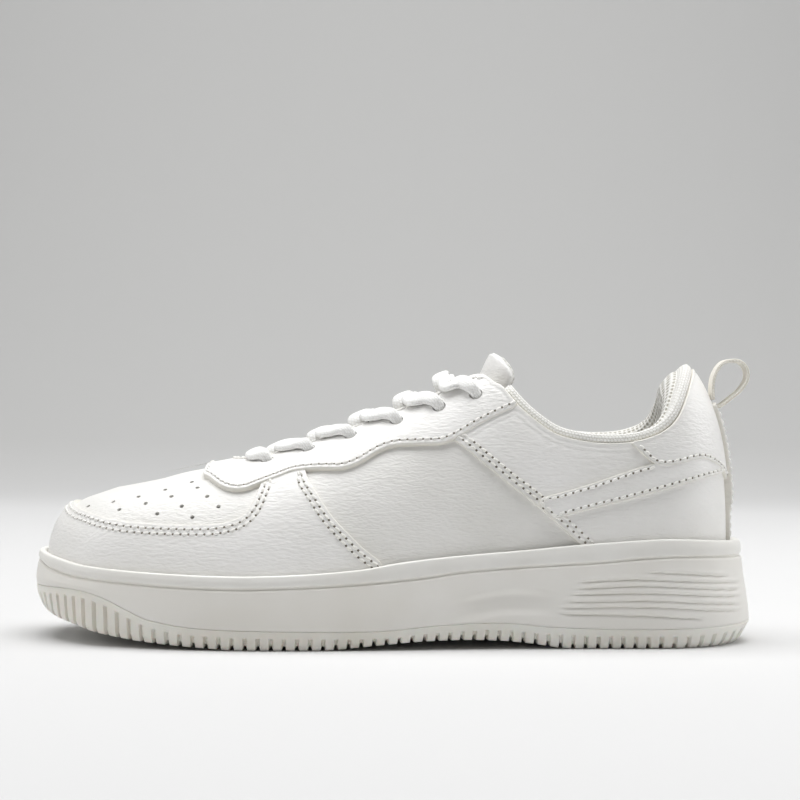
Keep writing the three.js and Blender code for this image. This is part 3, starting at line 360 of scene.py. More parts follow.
def cut_panel(field, levels):
    """The part of the upper's grid where the field is positive, cut along its edge and along lines at the other
    levels inside it. Gives columns, rows and field values of its points, and its faces."""
    flat = field.ravel()
    ids, a_list, b_list, f_list, cuts = {}, [], [], [], {}

    def corner(i, r):
        key = grid_corner(i, r)
        if key not in ids:
            ids[key] = len(a_list)
            a_list.append(float(key // (ROWS + 1)))
            b_list.append(float(r))
            f_list.append(float(flat[key]))
        return ids[key]

    def cut(p, q, level, column):
        key = (min(p, q), max(p, q), level)
        if key not in cuts:
            t = (level - f_list[p]) / (f_list[q] - f_list[p])
            ap, aq = a_list[p], a_list[q]
            if aq - ap > RING / 2:
                ap += RING
            if ap - aq > RING / 2:
                aq += RING
            if b_list[p] == ROWS and column >= SIDE and ap <= SIDE:
                ap = RING - ap
            if b_list[q] == ROWS and column >= SIDE and aq <= SIDE:
                aq = RING - aq
            cuts[key] = len(a_list)
            a_list.append(ap + (aq - ap) * t)
            b_list.append(b_list[p] + (b_list[q] - b_list[p]) * t)
            f_list.append(level)
        return cuts[key]

    def split(face, level, column):
        above, below = [], []
        for p, q in zip(face, face[1:] + face[:1]):
            fp, fq = f_list[p] - level, f_list[q] - level
            if fp >= 0:
                above.append(p)
            if fp <= 0:
                below.append(p)
            if fp * fq < 0:
                c = cut(p, q, level, column)
                above.append(c)
                below.append(c)
        return (above if len(above) > 2 else None), (below if len(below) > 2 else None)

    faces = []
    high = np.maximum.reduce([field, np.roll(field, -1, 0)])
    high = np.maximum(high[:, :-1], high[:, 1:])
    for i, r in zip(*np.nonzero(high > 0)):
        face = [corner(i, r), corner(i + 1, r), corner(i + 1, r + 1), corner(i, r + 1)]
        face = [p for k, p in enumerate(face) if p != face[k - 1]]
        if len(face) < 3:
            continue
        values = [f_list[p] for p in face]
        rest = face
        if min(values) < levels[0]:
            rest, _ = split(face, levels[0], i)
        for level in levels[1:]:
            if rest is None or level > max(values):
                break
            rest, done = split(rest, level, i)
            if done and any(f_list[p] < level for p in done):
                faces.append(done)
            elif rest is None:
                rest = done
                break
        if rest:
            faces.append(rest)
    return np.array(a_list), np.array(b_list), np.array(f_list), faces


def leather_panel(name, field, inner, outer, material, nodes, seams=(), edge=0.3, levels=(), lift=None):
    """A sewn panel between two levels over the base leather, with a rounded edge and a shallow valley along each
    seam, whose distances from the edge are given."""
    marks = sorted({0.0, 0.12, 0.3, 0.6, 1.0, *levels, *[s + k for s in seams for k in (-0.6, 0.0, 0.6)]})
    a, b, f, faces = cut_panel(field, marks)
    turn = np.clip(f / edge, 0, 1)
    rise = 0.6 + 0.4 * np.sqrt(np.maximum(0, 1 - (1 - turn) ** 2))
    top = inner + (outer - inner) * rise
    for s in seams:
        top = top - 0.2 * np.exp(-((f - s) / 0.45) ** 2)
    if lift is not None:
        top = top + lift(on_upper(a, b, 0))
    upper = on_upper(a, b, top)
    lower = on_upper(a, b, np.full(len(a), inner))
    count = len(a)
    uses = {}
    for face in faces:
        for p, q in zip(face, face[1:] + face[:1]):
            uses[(p, q)] = uses.get((p, q), 0) + 1
    skirt = [[q, p, p + count, q + count] for (p, q) in uses if (q, p) not in uses]
    underside = [[p + count for p in face[::-1]] for face in faces]
    obj = mesh_object(name, np.concatenate([upper, lower]), faces + underside + skirt, [material])
    point_values(obj, "rim", np.concatenate([np.exp(-np.maximum(f, 0) / 0.35), np.ones(count)]))
    crisp(obj, 50)
    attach(obj, "shoe")
    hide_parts(*nodes)
    return obj


def contour(field, value, keep):
    """Lines on the upper where the field has this value, as arrays of (column, row)."""
    low = field < value
    mixed = (low != np.roll(low, -1, 0))[:, :-1] | (low != np.roll(low, -1, 0))[:, 1:]
    mixed |= low[:, :-1] != low[:, 1:]
    points, links = {}, {}
    for i, r in zip(*np.nonzero(mixed)):
        corners = [(i, r), (i + 1, r), (i + 1, r + 1), (i, r + 1)]
        hits = []
        for (i0, r0), (i1, r1) in zip(corners, corners[1:] + corners[:1]):
            f0, f1 = field[i0 % RING, r0], field[i1 % RING, r1]
            if (f0 < value) == (f1 < value):
                continue
            key = tuple(sorted((grid_corner(i0, r0), grid_corner(i1, r1))))
            t = (value - f0) / (f1 - f0)
            points.setdefault(key, (i0 + (i1 - i0) * t, r0 + (r1 - r0) * t))
            hits.append(key)
        if len(hits) == 2:
            links.setdefault(hits[0], []).append(hits[1])
            links.setdefault(hits[1], []).append(hits[0])
    kept = {}
    keys = list(points)
    place = np.array([points[k] for k in keys])
    good = keep(on_upper(place[:, 0], place[:, 1], 0), place)
    for key, fine in zip(keys, good):
        kept[key] = bool(fine)
    used, lines = set(), []
    ends = [k for k in links if sum(kept[n] for n in links[k]) < 2]
    for start in ends + list(links):
        if start in used or not kept[start]:
            continue
        line, here = [], start
        while here is not None and here not in used:
            used.add(here)
            line.append(points[here])
            here = next((n for n in links[here] if n not in used and kept[n]), None)
        if len(line) > 3:
            lines.append(np.array(line))
    return lines


# ---------------------------------------------------------------- Materials


def linear(code):
    """An sRGB hex value as linear red, green, blue and alpha."""
    parts = [int(code[k:k + 2], 16) / 255 for k in (1, 3, 5)]
    return tuple(c / 12.92 if c <= 0.04045 else ((c + 0.055) / 1.055) ** 2.4 for c in parts) + (1.0,)


def add_node(tree, kind, inputs=None, **settings):
    """A node with its settings, whose inputs are values or links."""
    node = tree.nodes.new(kind)
    for key, value in settings.items():
        setattr(node, key, value)
    for key, value in (inputs or {}).items():
        socket = node.inputs[key]
        if isinstance(value, bpy.types.NodeSocket):
            tree.links.new(value, socket)
        else:
            socket.default_value = value
    return node


def plain_material(name, roughness, ior=1.5, **sockets):
    material = bpy.data.materials.new(name)
    material.use_nodes = True
    shader = material.node_tree.nodes["Principled BSDF"]
    shader.inputs["Roughness"].default_value = roughness
    shader.inputs["IOR"].default_value = ior
    for key, value in sockets.items():
        shader.inputs[key.replace("_", " ")].default_value = value
    return material, material.node_tree, shader


def math_node(tree, operation, first, second=0.0):
    return add_node(tree, "ShaderNodeMath", {0: first, 1: second}, operation=operation).outputs[0]


def two_tone(tree, factor, dark, light, low=0.35, high=0.65):
    ramp = add_node(tree, "ShaderNodeValToRGB", {0: factor})
    ramp.color_ramp.elements[0].position = low
    ramp.color_ramp.elements[1].position = high
    ramp.color_ramp.elements[0].color = linear(dark)
    ramp.color_ramp.elements[1].color = linear(light)
    return ramp.outputs["Color"]


def leather(name, light, dark, roughness, grain=0.9):
    """Coated synthetic leather: embossed with pebbles about a millimetre wide that lie in level wrinkles, with a
    soft gloss, slight changes of shade, and a creamier cut edge where the backing shows."""
    material, tree, shader = plain_material(name, roughness, 1.5)
    place = add_node(tree, "ShaderNodeTexCoord").outputs["Object"]
    level = add_node(tree, "ShaderNodeMapping", {"Vector": place, "Scale": (0.45, 0.7, 1.4)}).outputs["Vector"]
    drift = add_node(tree, "ShaderNodeTexNoise", {"Vector": level, "Scale": 260.0, "Detail": 2.0})
    bent = add_node(tree, "ShaderNodeVectorMath", {0: drift.outputs["Color"], 3: 0.0016},
                    operation="SCALE").outputs[0]
    warped = add_node(tree, "ShaderNodeVectorMath", {0: level, 1: bent}, operation="ADD").outputs[0]
    pebbles = add_node(tree, "ShaderNodeTexVoronoi", {"Vector": warped, "Scale": 1000 / grain},
                       feature="SMOOTH_F1").outputs["Distance"]
    wrinkles = add_node(tree, "ShaderNodeTexNoise", {"Vector": warped, "Scale": 560.0, "Detail": 3.0,
                                                     "Roughness": 0.55}).outputs["Fac"]
    pressed = math_node(tree, "MULTIPLY", pebbles, -0.6)
    height = math_node(tree, "ADD", pressed, math_node(tree, "MULTIPLY", wrinkles, 1.1))
    bump = add_node(tree, "ShaderNodeBump", {"Height": height, "Strength": 0.9, "Distance": 0.00026})
    broad = add_node(tree, "ShaderNodeTexNoise", {"Vector": place, "Scale": 28.0, "Detail": 2.0}).outputs["Fac"]
    shade = two_tone(tree, broad, dark, light)
    rim = add_node(tree, "ShaderNodeAttribute", attribute_name="rim").outputs["Fac"]
    edge = add_node(tree, "ShaderNodeMix", {0: math_node(tree, "MULTIPLY", rim, 0.55), 6: shade,
                                            7: linear("#DDD8C9")}, data_type="RGBA").outputs[2]
    tree.links.new(edge, shader.inputs["Base Color"])
    worn = add_node(tree, "ShaderNodeMapRange", {"Value": wrinkles, "To Min": roughness - 0.06,
                                                 "To Max": roughness + 0.1}).outputs[0]
    tree.links.new(worn, shader.inputs["Roughness"])
    tree.links.new(bump.outputs["Normal"], shader.inputs["Normal"])
    return material


def foam_rubber(name, light, dark, roughness, grain, bump_depth, **sockets):
    """Moulded foam or rubber: matt, with a fine sandy skin from the mould and faint clouding."""
    material, tree, shader = plain_material(name, roughness, 1.5, **sockets)
    place = add_node(tree, "ShaderNodeTexCoord").outputs["Object"]
    cloud = add_node(tree, "ShaderNodeTexNoise", {"Vector": place, "Scale": 22.0, "Detail": 3.0}).outputs["Fac"]
    tree.links.new(two_tone(tree, cloud, dark, light), shader.inputs["Base Color"])
    skin = add_node(tree, "ShaderNodeTexNoise", {"Vector": place, "Scale": 1000 / grain, "Detail": 3.0,
                                                 "Roughness": 0.7}).outputs["Fac"]
    bump = add_node(tree, "ShaderNodeBump", {"Height": skin, "Strength": 0.35, "Distance": bump_depth})
    tree.links.new(bump.outputs["Normal"], shader.inputs["Normal"])
    return material


def woven(name, light, dark, roughness, pitch, ratio=1.0, depth=0.0003, layer="UVMap", sheen=0.25):
    """Woven or knitted yarn: rows of round loops at a real pitch along the piece's own map, with a soft bloom and
    painted shade in the gaps between the loops.
    """
    material, tree, shader = plain_material(name, roughness, 1.5, Sheen_Weight=sheen, Sheen_Roughness=0.5)
    way = add_node(tree, "ShaderNodeUVMap", uv_map=layer).outputs["UV"]
    parts = add_node(tree, "ShaderNodeSeparateXYZ", {0: way})
    u = math_node(tree, "MULTIPLY", parts.outputs[0], 1 / pitch)
    v = math_node(tree, "MULTIPLY", parts.outputs[1], 1 / (pitch * ratio))
    row = math_node(tree, "FLOOR", v)
    slid = math_node(tree, "ADD", u, math_node(tree, "MULTIPLY", math_node(tree, "MODULO", row, 2.0), 0.5))
    across_loop = math_node(tree, "ABSOLUTE", math_node(tree, "SINE", math_node(tree, "MULTIPLY", slid, math.pi)))
    up_loop = math_node(tree, "ABSOLUTE", math_node(tree, "SINE", math_node(tree, "MULTIPLY", v, math.pi)))
    loops = math_node(tree, "POWER", math_node(tree, "MULTIPLY", across_loop, up_loop), 0.6)
    # The low parts between the loops take the darker colour: painted shade in the gaps.
    tree.links.new(two_tone(tree, loops, dark, light, 0.05, 0.6), shader.inputs["Base Color"])
    bump = add_node(tree, "ShaderNodeBump", {"Height": loops, "Strength": 0.8, "Distance": depth})
    tree.links.new(bump.outputs["Normal"], shader.inputs["Normal"])
    return material


def air_mesh(name, light, hole_shade, roughness, pitch, depth=0.0006, reach=(0.2, 0.42)):
    """Spacer mesh: a knitted face with rows of round holes at a real pitch, with painted shade in the holes where
    they open to the foam.
    """
    material, tree, shader = plain_material(name, roughness, 1.5, Sheen_Weight=0.3, Sheen_Roughness=0.5)
    way = add_node(tree, "ShaderNodeUVMap", uv_map="UVMap").outputs["UV"]
    cell = add_node(tree, "ShaderNodeVectorMath", {0: way, 3: 1 / pitch}, operation="SCALE").outputs[0]
    holes = add_node(tree, "ShaderNodeTexVoronoi", {"Vector": cell, "Scale": 1.0, "Randomness": 0.12},
                     voronoi_dimensions="2D").outputs["Distance"]
    # The holes take the darker colour: painted shade for their depth.
    tree.links.new(two_tone(tree, holes, hole_shade, light, *reach), shader.inputs["Base Color"])
    open_part = add_node(tree, "ShaderNodeMapRange", {"Value": holes, "From Min": reach[0] * 0.6,
                                                      "From Max": reach[1] * 1.2}).outputs[0]
    bump = add_node(tree, "ShaderNodeBump", {"Height": open_part, "Strength": 0.7, "Distance": depth})
    tree.links.new(bump.outputs["Normal"], shader.inputs["Normal"])
    return material


def fibre(name, light, dark, roughness, scale):
    """Pressed board, non-woven fabric or cut foam: matt, with a flecked face."""
    material, tree, shader = plain_material(name, roughness, 1.5)
    place = add_node(tree, "ShaderNodeTexCoord").outputs["Object"]
    flecks = add_node(tree, "ShaderNodeTexNoise", {"Vector": place, "Scale": scale, "Detail": 5.0}).outputs["Fac"]
    tree.links.new(two_tone(tree, flecks, dark, light), shader.inputs["Base Color"])
    bump = add_node(tree, "ShaderNodeBump", {"Height": flecks, "Strength": 0.3, "Distance": 0.0003})
    tree.links.new(bump.outputs["Normal"], shader.inputs["Normal"])
    return material


white_leather = leather("white coated leather", "#F5F4F1", "#EFEEEA", 0.4)
smooth_leather = leather("smooth white leather", "#FBFAF8", "#F6F5F2", 0.38, 1.1)
thread_white = foam_rubber("white polyester thread", "#FDFCFA", "#F3F1EB", 0.5, 0.4, 0.00005)
# Needle holes are flat discs laid on the leather; their dark colour is painted shade standing in for the hole's
# depth.
needle_hole_shade = foam_rubber("needle hole", "#8F897D", "#6F685C", 0.9, 0.4, 0.00005)
midsole_foam = foam_rubber("moulded white foam", "#F1EFEA", "#EBE8E1", 0.62, 0.5, 0.00009)
rim_foam = foam_rubber("sandblasted foam rim", "#F4F3EF", "#ECEAE4", 0.55, 1.1, 0.00025)
outsole_rubber = foam_rubber("white cup rubber", "#F2F0E9", "#E7E3D9", 0.5, 0.7, 0.00006, Subsurface_Weight=0.08,
                             Subsurface_Scale=0.004)
# The darker colour of each woven material is painted shade in the gaps between its loops.
lace_cotton = woven("white flat lace", "#FFFFFE", "#F3F2ED", 0.85, 0.0011, 1.0, 0.00015)
webbing = woven("cream webbing", "#FAF7EE", "#E9E3D3", 0.8, 0.0013, 0.8, 0.0003)
collar_knit = woven("white knitted edging", "#F9F8F5", "#DDDBD2", 0.85, 0.0014, 0.85, 0.0003)
# B9B5A9 is painted shade in the spacer mesh's holes.
lining_mesh = air_mesh("white spacer mesh", "#F2F1ED", "#B9B5A9", 0.9, 0.0021)
lining_felt = fibre("white lining felt", "#ECEAE4", "#DEDBD2", 0.95, 900.0)
board_fibre = fibre("pressed insole board", "#DAD4C4", "#C6BFAC", 0.9, 700.0)
cut_foam = fibre("cut padding foam", "#E6E3D9", "#D4D0C4", 0.95, 1200.0)
tip_film = foam_rubber("clear lace tip film", "#E9E8E3", "#DEDCD5", 0.25, 2.0, 0.00002)
label_weave = woven("grey woven label", "#E9E9E7", "#D6D6D3", 0.8, 0.0008, 1.0, 0.0001)

# ---------------------------------------------------------------- Sewn upper


def punched(obj, holes, width, sides=20, depth=9.0):
    """Cuts round holes through a piece. Each hole is (column, row) with a width in millimetres."""
    points, faces = [], []
    for a, b in holes:
        centre = on_upper(a, b, 0)
        out = facing(a, b)
        side = unit(np.cross(out, [0.0, 0.3, 1.0]))
        other = np.cross(out, side)
        first = len(points)
        for end in (-depth, depth):
            for k in range(sides):
                t = 2 * math.pi * k / sides
                points.append(centre + out * end + (side * math.cos(t) + other * math.sin(t)) * width / 2)
        faces.append([first + k for k in range(sides)][::-1])
        faces.append([first + sides + k for k in range(sides)])
        for k in range(sides):
            n = (k + 1) % sides
            faces.append([first + k, first + n, first + sides + n, first + sides + k])
    tool = mesh_object("punch", points, faces, [white_leather], soft=False)
    box = bmesh.new()
    box.from_mesh(tool.data)
    bmesh.ops.recalc_face_normals(box, faces=box.faces)
    box.to_mesh(tool.data)
    box.free()
    cut = obj.modifiers.new("punched holes", "BOOLEAN")
    cut.operation = "DIFFERENCE"
    cut.solver = "EXACT"
    cut.object = tool
    settle(obj)
    bpy.data.objects.remove(tool)
    crisp(obj, 50)


def settle(obj):
    """Turns a piece with modifiers into a plain mesh."""
    view = bpy.context.evaluated_depsgraph_get()
    mesh = bpy.data.meshes.new_from_object(obj.evaluated_get(view), preserve_all_data_layers=True, depsgraph=view)
    obj.modifiers.clear()
    old = obj.data
    obj.data = mesh
    mesh.name = obj.name
    bpy.data.meshes.remove(old)


eyelet_places = [find_on_upper(x, "y", y, outer) for x, y in EYELETS for outer in (True, False)]
air_holes = [find_on_upper(x, "z", z, outer) for x, z in PERFORATIONS for outer in (True, False)]

vamp = leather_panel("vamp_leather", both(-behind_seam, out_of_throat, out_of_mouth), -1.4, 0.0, white_leather,
                     ["vamp"], edge=0.3)
punched(vamp, air_holes, 1.8, 14, 5.0)
punched(vamp, eyelet_places[:2], 5.4)
side_leather = {}
for outer, name in ((True, "lateral"), (False, "medial")):
    half = np.where(outer_half == outer, 30.0, -0.2)
    side_leather[name] = leather_panel("quarter_leather_" + name,
                                       both(behind_seam, out_of_throat, out_of_mouth, half), -1.4, 0.0,
                                       white_leather, ["quarter_" + name], edge=0.3)
    punched(side_leather[name], [p for p in eyelet_places[2:] if (p[0] <= SIDE) == outer], 5.4)

under_flap = 1.2 - flap
leather_panel("mudguard_leather", both(mudguard, np.where(UPPER[..., 0] < -57, 40.0, under_flap), out_of_mouth),
              -0.05, 1.5, smooth_leather, ["toe_mudguard"], seams=(2.0, 4.0))
for outer, name in ((True, "lateral"), (False, "medial")):
    half = np.where(outer_half == outer, 30.0, -0.2)
    leather_panel("rear_leather_" + name, both(rear_panel, under_flap, out_of_mouth, half), -0.05, 1.5,
                  smooth_leather, ["rear_panel_" + name], seams=(2.0, 4.0))
    leather_panel("band_leather_" + name, both(band, half, 0.8 - heel_tab, -strip + 0.6), 1.45, 2.75,
                  smooth_leather, ["side_band_" + name], seams=(1.4,))
eyestay = leather_panel("eyestay_leather", both(flap, out_of_throat, out_of_mouth), -0.05, 2.2, smooth_leather,
                        ["eyestay"], seams=(2.0,), edge=0.45)
punched(eyestay, eyelet_places, 5.4)
leather_panel("heel_tab_leather", both(heel_tab, out_of_mouth), 1.45, 3.0, smooth_leather, ["heel_tab"],
              seams=(1.6,))
below_loop = true_distance(95 - UPPER[..., 2])
leather_panel("backstay_leather", both(strip, below_loop), 1.45, 3.3, smooth_leather, ["backstay"], seams=(1.3,),
              lift=lambda p: 1.3 * ease(50, 60, p[:, 2]))

below_collar = [(27, 175), (27, 100), (33, 96), (38, 91), (44, 80), (50, 68)]
below_collar += [(x, z - 28) for x, z in TOPLINE[5:15]] + [(114, 61), (123, 64), (128, 74), (175, 78), (175, 175)]
leather_panel("lining_front", both(-behind_seam, out_of_throat), -3.6, -2.8, lining_felt, ["vamp_lining"])
leather_panel("lining_rear", both(behind_seam, out_of_throat, -from_side(below_collar)), -3.6, -2.8, lining_mesh,
              ["quarter_lining"])

# ---------------------------------------------------------------- Stitches


def stitch_tree():
    """Stitches along a line: each is a short round thread between two needle holes, bedded in the leather; each
    hole is a flat dark disc, painted shade for the hole's depth.
    """
    tree = bpy.data.node_groups.new("stitch row", "GeometryNodeTree")
    face = tree.interface
    face.new_socket("Geometry", in_out="INPUT", socket_type="NodeSocketGeometry")
    for name, value in (("Stitch pitch", 0.0031), ("Thread length", 0.0026), ("Thread width", 0.00125),
                        ("Hole width", 0.0010)):
        face.new_socket(name, in_out="INPUT", socket_type="NodeSocketFloat").default_value = value
    face.new_socket("Geometry", in_out="OUTPUT", socket_type="NodeSocketGeometry")
    given = add_node(tree, "NodeGroupInput")
    size = given.outputs
    line = add_node(tree, "GeometryNodeMeshToCurve", {"Mesh": size["Geometry"]}).outputs["Curve"]
    row = add_node(tree, "GeometryNodeResampleCurve", {"Curve": line, "Length": size["Stitch pitch"]},
                   mode="LENGTH")
    along = add_node(tree, "GeometryNodeInputTangent").outputs["Tangent"]
    up = add_node(tree, "GeometryNodeInputNamedAttribute", {"Name": "outward"}, data_type="FLOAT_VECTOR")
    laid = add_node(tree, "FunctionNodeAlignRotationToVector", {"Vector": along}, axis="X").outputs["Rotation"]
    turned = add_node(tree, "FunctionNodeAlignRotationToVector",
                      {"Rotation": laid, "Vector": up.outputs["Attribute"]},
                      axis="Z", pivot_axis="X").outputs["Rotation"]
    ball = add_node(tree, "GeometryNodeMeshUVSphere", {"Segments": 8, "Rings": 5, "Radius": 0.5})
    thread_size = add_node(tree, "ShaderNodeCombineXYZ", {0: size["Thread length"], 1: size["Thread width"],
                                                          2: size["Thread width"]}).outputs[0]
    shaped = add_node(tree, "GeometryNodeTransform", {"Geometry": ball.outputs["Mesh"], "Scale": thread_size})
    thread = add_node(tree, "GeometryNodeTransform", {"Geometry": shaped.outputs["Geometry"],
                                                      "Rotation": (0.0, 0.0, 0.2),
                                                      "Translation": (0.0, 0.0, 0.00016)})
    # The needle hole is a flat disc just above the leather, coloured with painted shade.
    disc = add_node(tree, "GeometryNodeMeshCircle", {"Vertices": 8, "Radius": 0.5}, fill_type="NGON")
    half = math_node(tree, "MULTIPLY", size["Stitch pitch"], 0.5)
    beside = add_node(tree, "ShaderNodeCombineXYZ", {0: half, 2: 0.00006}).outputs[0]
    hole_size = add_node(tree, "ShaderNodeCombineXYZ", {0: size["Hole width"], 1: size["Hole width"], 2: 1.0})
    hole_shade = add_node(tree, "GeometryNodeTransform", {"Geometry": disc.outputs["Mesh"], "Translation": beside,
                                                    "Scale": hole_size.outputs[0]})
    finished = []
    for shape, material in ((thread, thread_white), (hole_shade, needle_hole_shade)):
        placed = add_node(tree, "GeometryNodeInstanceOnPoints", {
            "Points": row.outputs["Curve"], "Instance": shape.outputs["Geometry"], "Rotation": turned})
        real = add_node(tree, "GeometryNodeRealizeInstances", {"Geometry": placed.outputs["Instances"]})
        finished.append(add_node(tree, "GeometryNodeSetMaterial", {"Geometry": real.outputs[0],
                                                                   "Material": material}).outputs[0])
    joined = add_node(tree, "GeometryNodeJoinGeometry")
    for part in finished:
        tree.links.new(part, joined.inputs[0])
    add_node(tree, "NodeGroupOutput", {"Geometry": joined.outputs[0]})
    return tree


def run_tree(obj, tree, **sizes):
    modifier = obj.modifiers.new(tree.name, "NODES")
    modifier.node_group = tree
    for item in tree.interface.items_tree:
        if item.item_type == "SOCKET" and item.in_out == "INPUT" and item.name in sizes:
            modifier[item.identifier] = sizes[item.name]
    settle(obj)


def seam_mesh(name, lines):
    """A mesh of bare lines: each line is (points, outward directions)."""
    points, ways, edges = [], [], []
    for line, out in lines:
        first = len(points)
        points.extend(line)
        ways.extend(out)
        edges.extend((first + k, first + k + 1) for k in range(len(line) - 1))
    obj = mesh_object(name, points, [], [thread_white, needle_hole_shade], edges=edges)
    point_values(obj, "outward", ways, "FLOAT_VECTOR")
    return obj


def sample(field, place):
    i = np.round(place[:, 0]).astype(int) % RING
    r = np.round(place[:, 1]).astype(int)
    return field[i, r]


above_sole = true_distance(UPPER[..., 2] - smooth(RIM_TOP, UPPER[..., 0]) - 0.6)


def below_band(p, w):
    shown = (sample(flap, w) < -0.6) & (sample(band, w) < -0.4) & (sample(out_of_mouth, w) > 1.0)
    return shown & (sample(above_sole, w) > 0) & (p[:, 0] < 90)


def on_flap(p, w):
    return (sample(out_of_throat, w) > 0.5) & (sample(out_of_mouth, w) > 1.5)


def along_throat(p, w):
    return (sample(flap, w) > 2.6) & (sample(out_of_mouth, w) > 1.5) & (p[:, 0] < 36)


def on_mudguard(p, w):
    return (sample(flap, w) < -0.6) & (sample(above_sole, w) > 0)


def on_heel_tab(p, w):
    return (sample(strip, w) < -0.8) & (sample(out_of_mouth, w) > 1.0) & (p[:, 0] < 138)


SEAMS = [
    (flap, 2.0, 2.05, on_flap),
    (out_of_throat, 2.6, 2.1, along_throat),
    (mudguard, 2.0, 1.35, on_mudguard),
    (mudguard, 4.0, 1.35, on_mudguard),
    (rear_panel, 2.0, 1.35, below_band),
    (rear_panel, 4.0, 1.35, below_band),
    (band, 1.4, 2.6, lambda p, w: (sample(heel_tab, w) < -0.3) & (sample(strip, w) < -0.8)),
    (heel_tab, 1.6, 2.85, on_heel_tab),
    (strip, 1.3, 3.1, lambda p, w: (p[:, 2] < 92) & (sample(above_sole, w) > 0)),
]


def seam_lines():
    lines = []
    for field, value, d, keep in SEAMS:
        for way in contour(field, value, keep):
            a, b = way[:, 0], way[:, 1]
            raised = np.full(len(way), float(d))
            if field is strip:
                raised = raised + 1.3 * ease(50, 60, on_upper(a, b, 0)[:, 2])
            points = on_upper(a, b, raised)
            lines.append((points, facing(a, b)))
    return lines


stitches = seam_mesh("seam_stitches", seam_lines())
run_tree(stitches, stitch_tree())
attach(stitches, "shoe")

# ---------------------------------------------------------------- Swept pieces


def map_onto(obj, uv_of_corner):
    """Gives a piece its own map, in metres, from a value for each corner of its faces."""
    layer = obj.data.uv_layers.new(name="UVMap")
    layer.data.foreach_set("uv", np.asarray(uv_of_corner, dtype=float).ravel())


def tube(name, rings, materials, slots=None, lids=True):
    """A closed piece from rings of points, with a map that runs along it and round it."""
    rings = np.asarray(rings, dtype=float)
    count, sides = rings.shape[:2]
    middle = rings.mean(1)
    along = np.concatenate([[0], np.cumsum(np.linalg.norm(np.diff(middle, axis=0), axis=1))]) / 1000
    step = np.linalg.norm(np.roll(rings, -1, 1) - rings, axis=2).mean(0)
    around_it = np.concatenate([[0], np.cumsum(step)]) / 1000
    faces, uvs, kinds = [], [], []
    for f in range(count - 1):
        for k in range(sides):
            n = (k + 1) % sides
            faces.append([f * sides + k, f * sides + n, (f + 1) * sides + n, (f + 1) * sides + k])
            uvs += [(along[f], around_it[k]), (along[f], around_it[k + 1]),
                    (along[f + 1], around_it[k + 1]), (along[f + 1], around_it[k])]
            kinds.append(0 if slots is None else slots[k])
    points = rings.reshape(-1, 3)
    if lids:
        for f, flip in ((0, True), (count - 1, False)):
            points = np.concatenate([points, rings[f].mean(0)[None]])
            hub = len(points) - 1
            for k in range(sides):
                p, q = f * sides + k, f * sides + (k + 1) % sides
                faces.append([q, p, hub] if flip else [p, q, hub])
                uvs += [(0, 0), (0.001, 0), (0, 0.001)]
                kinds.append(0 if slots is None else slots[k])
    volume = 0.0
    for f in range(count - 1):
        a, b = rings[f], rings[f + 1]
        volume += np.einsum("ij,ij->i", a, np.cross(np.roll(a, -1, 0), b)).sum()
        volume += np.einsum("ij,ij->i", np.roll(a, -1, 0), np.cross(np.roll(b, -1, 0), b)).sum()
    obj = mesh_object(name, points, faces, materials, kinds)
    map_onto(obj, uvs)
    if volume < 0:
        obj.data.flip_normals()
    return obj


# ---------------------------------------------------------------- Sole unit

LUG_PITCH = 5.2
foot = np.concatenate([UPPER[:, 0], UPPER[:1, 0]])
foot_length = np.concatenate([[0], np.cumsum(np.hypot(*np.diff(foot[:, :2], axis=0).T))])
LUGS = int(round(foot_length[-1] * 1.06 / LUG_PITCH))
SOLE = LUGS * 8
sole_goal = np.arange(SOLE) / SOLE * foot_length[-1]
sole_column = np.interp(sole_goal, foot_length, np.arange(RING + 1))
sole_share = np.where(sole_column <= SIDE, sole_column, RING - sole_column) / SIDE
sole_foot = np.stack([np.interp(sole_goal, foot_length, foot[:, k]) for k in range(3)], 1)


def level_normals():
    way = np.roll(sole_foot, -1, 0) - np.roll(sole_foot, 1, 0)
    for _ in range(60):
        way = (np.roll(way, -1, 0) + way * 2 + np.roll(way, 1, 0)) / 4
    return unit(np.stack([way[:, 1], -way[:, 0], np.zeros(SOLE)], 1))


sole_out = level_normals()


def sole_ring(offsets, height, lift=0.0):
    """A ring round the sole: offsets from the foot line at the toe, on the sides and at the heel."""
    toe, side, heel = offsets
    t = 1 - ease(0.02, 0.22, sole_share)
    h = ease(0.76, 0.97, sole_share)
    ring = sole_foot + sole_out * (side + (toe - side) * t + (heel - side) * h)[:, None]
    level = smooth(height, sole_foot[:, 0]) if isinstance(height, list) else height
    ring[:, 2] = np.maximum(level, 0) + lift
    return ring


def ring_body(name, rings, materials, slots=None):
    """A closed body from rings round the sole; the first and last are closed across, from side to side."""
    rings = np.asarray(rings)
    count = len(rings)
    faces, kinds = [], []
    for f in range(count - 1):
        for k in range(SOLE):
            n = (k + 1) % SOLE
            faces.append([f * SOLE + k, f * SOLE + n, (f + 1) * SOLE + n, (f + 1) * SOLE + k])
            kinds.append(0 if slots is None else slots[f])
    for f, up in ((0, False), (count - 1, True)):
        for k in range(SOLE // 2):
            quad = [f * SOLE + k, f * SOLE + k + 1, f * SOLE + SOLE - k - 1, f * SOLE + (SOLE - k) % SOLE]
            quad = [p for j, p in enumerate(quad) if p != quad[j - 1]]
            if len(quad) > 2:
                faces.append(quad if up else quad[::-1])
                kinds.append(0)
    return mesh_object(name, rings.reshape(-1, 3), faces, materials, kinds)


LOUVRES = [[(99, 29.8), (112, 29.5), (132, 27.7)], [(71.8, 25.9), (96.3, 27.1), (138, 24.8)],
           [(70.3, 23.4), (100.1, 24.6), (138, 22)], [(68.4, 21.1), (104, 21.7), (138, 19.3)],
           [(66.9, 18.3), (104.1, 18.8), (138, 16.2)], [(65.3, 16), (104.1, 16.3), (138, 13.6)],
           [(64.6, 13.7), (100.2, 13), (121, 11.6)]]


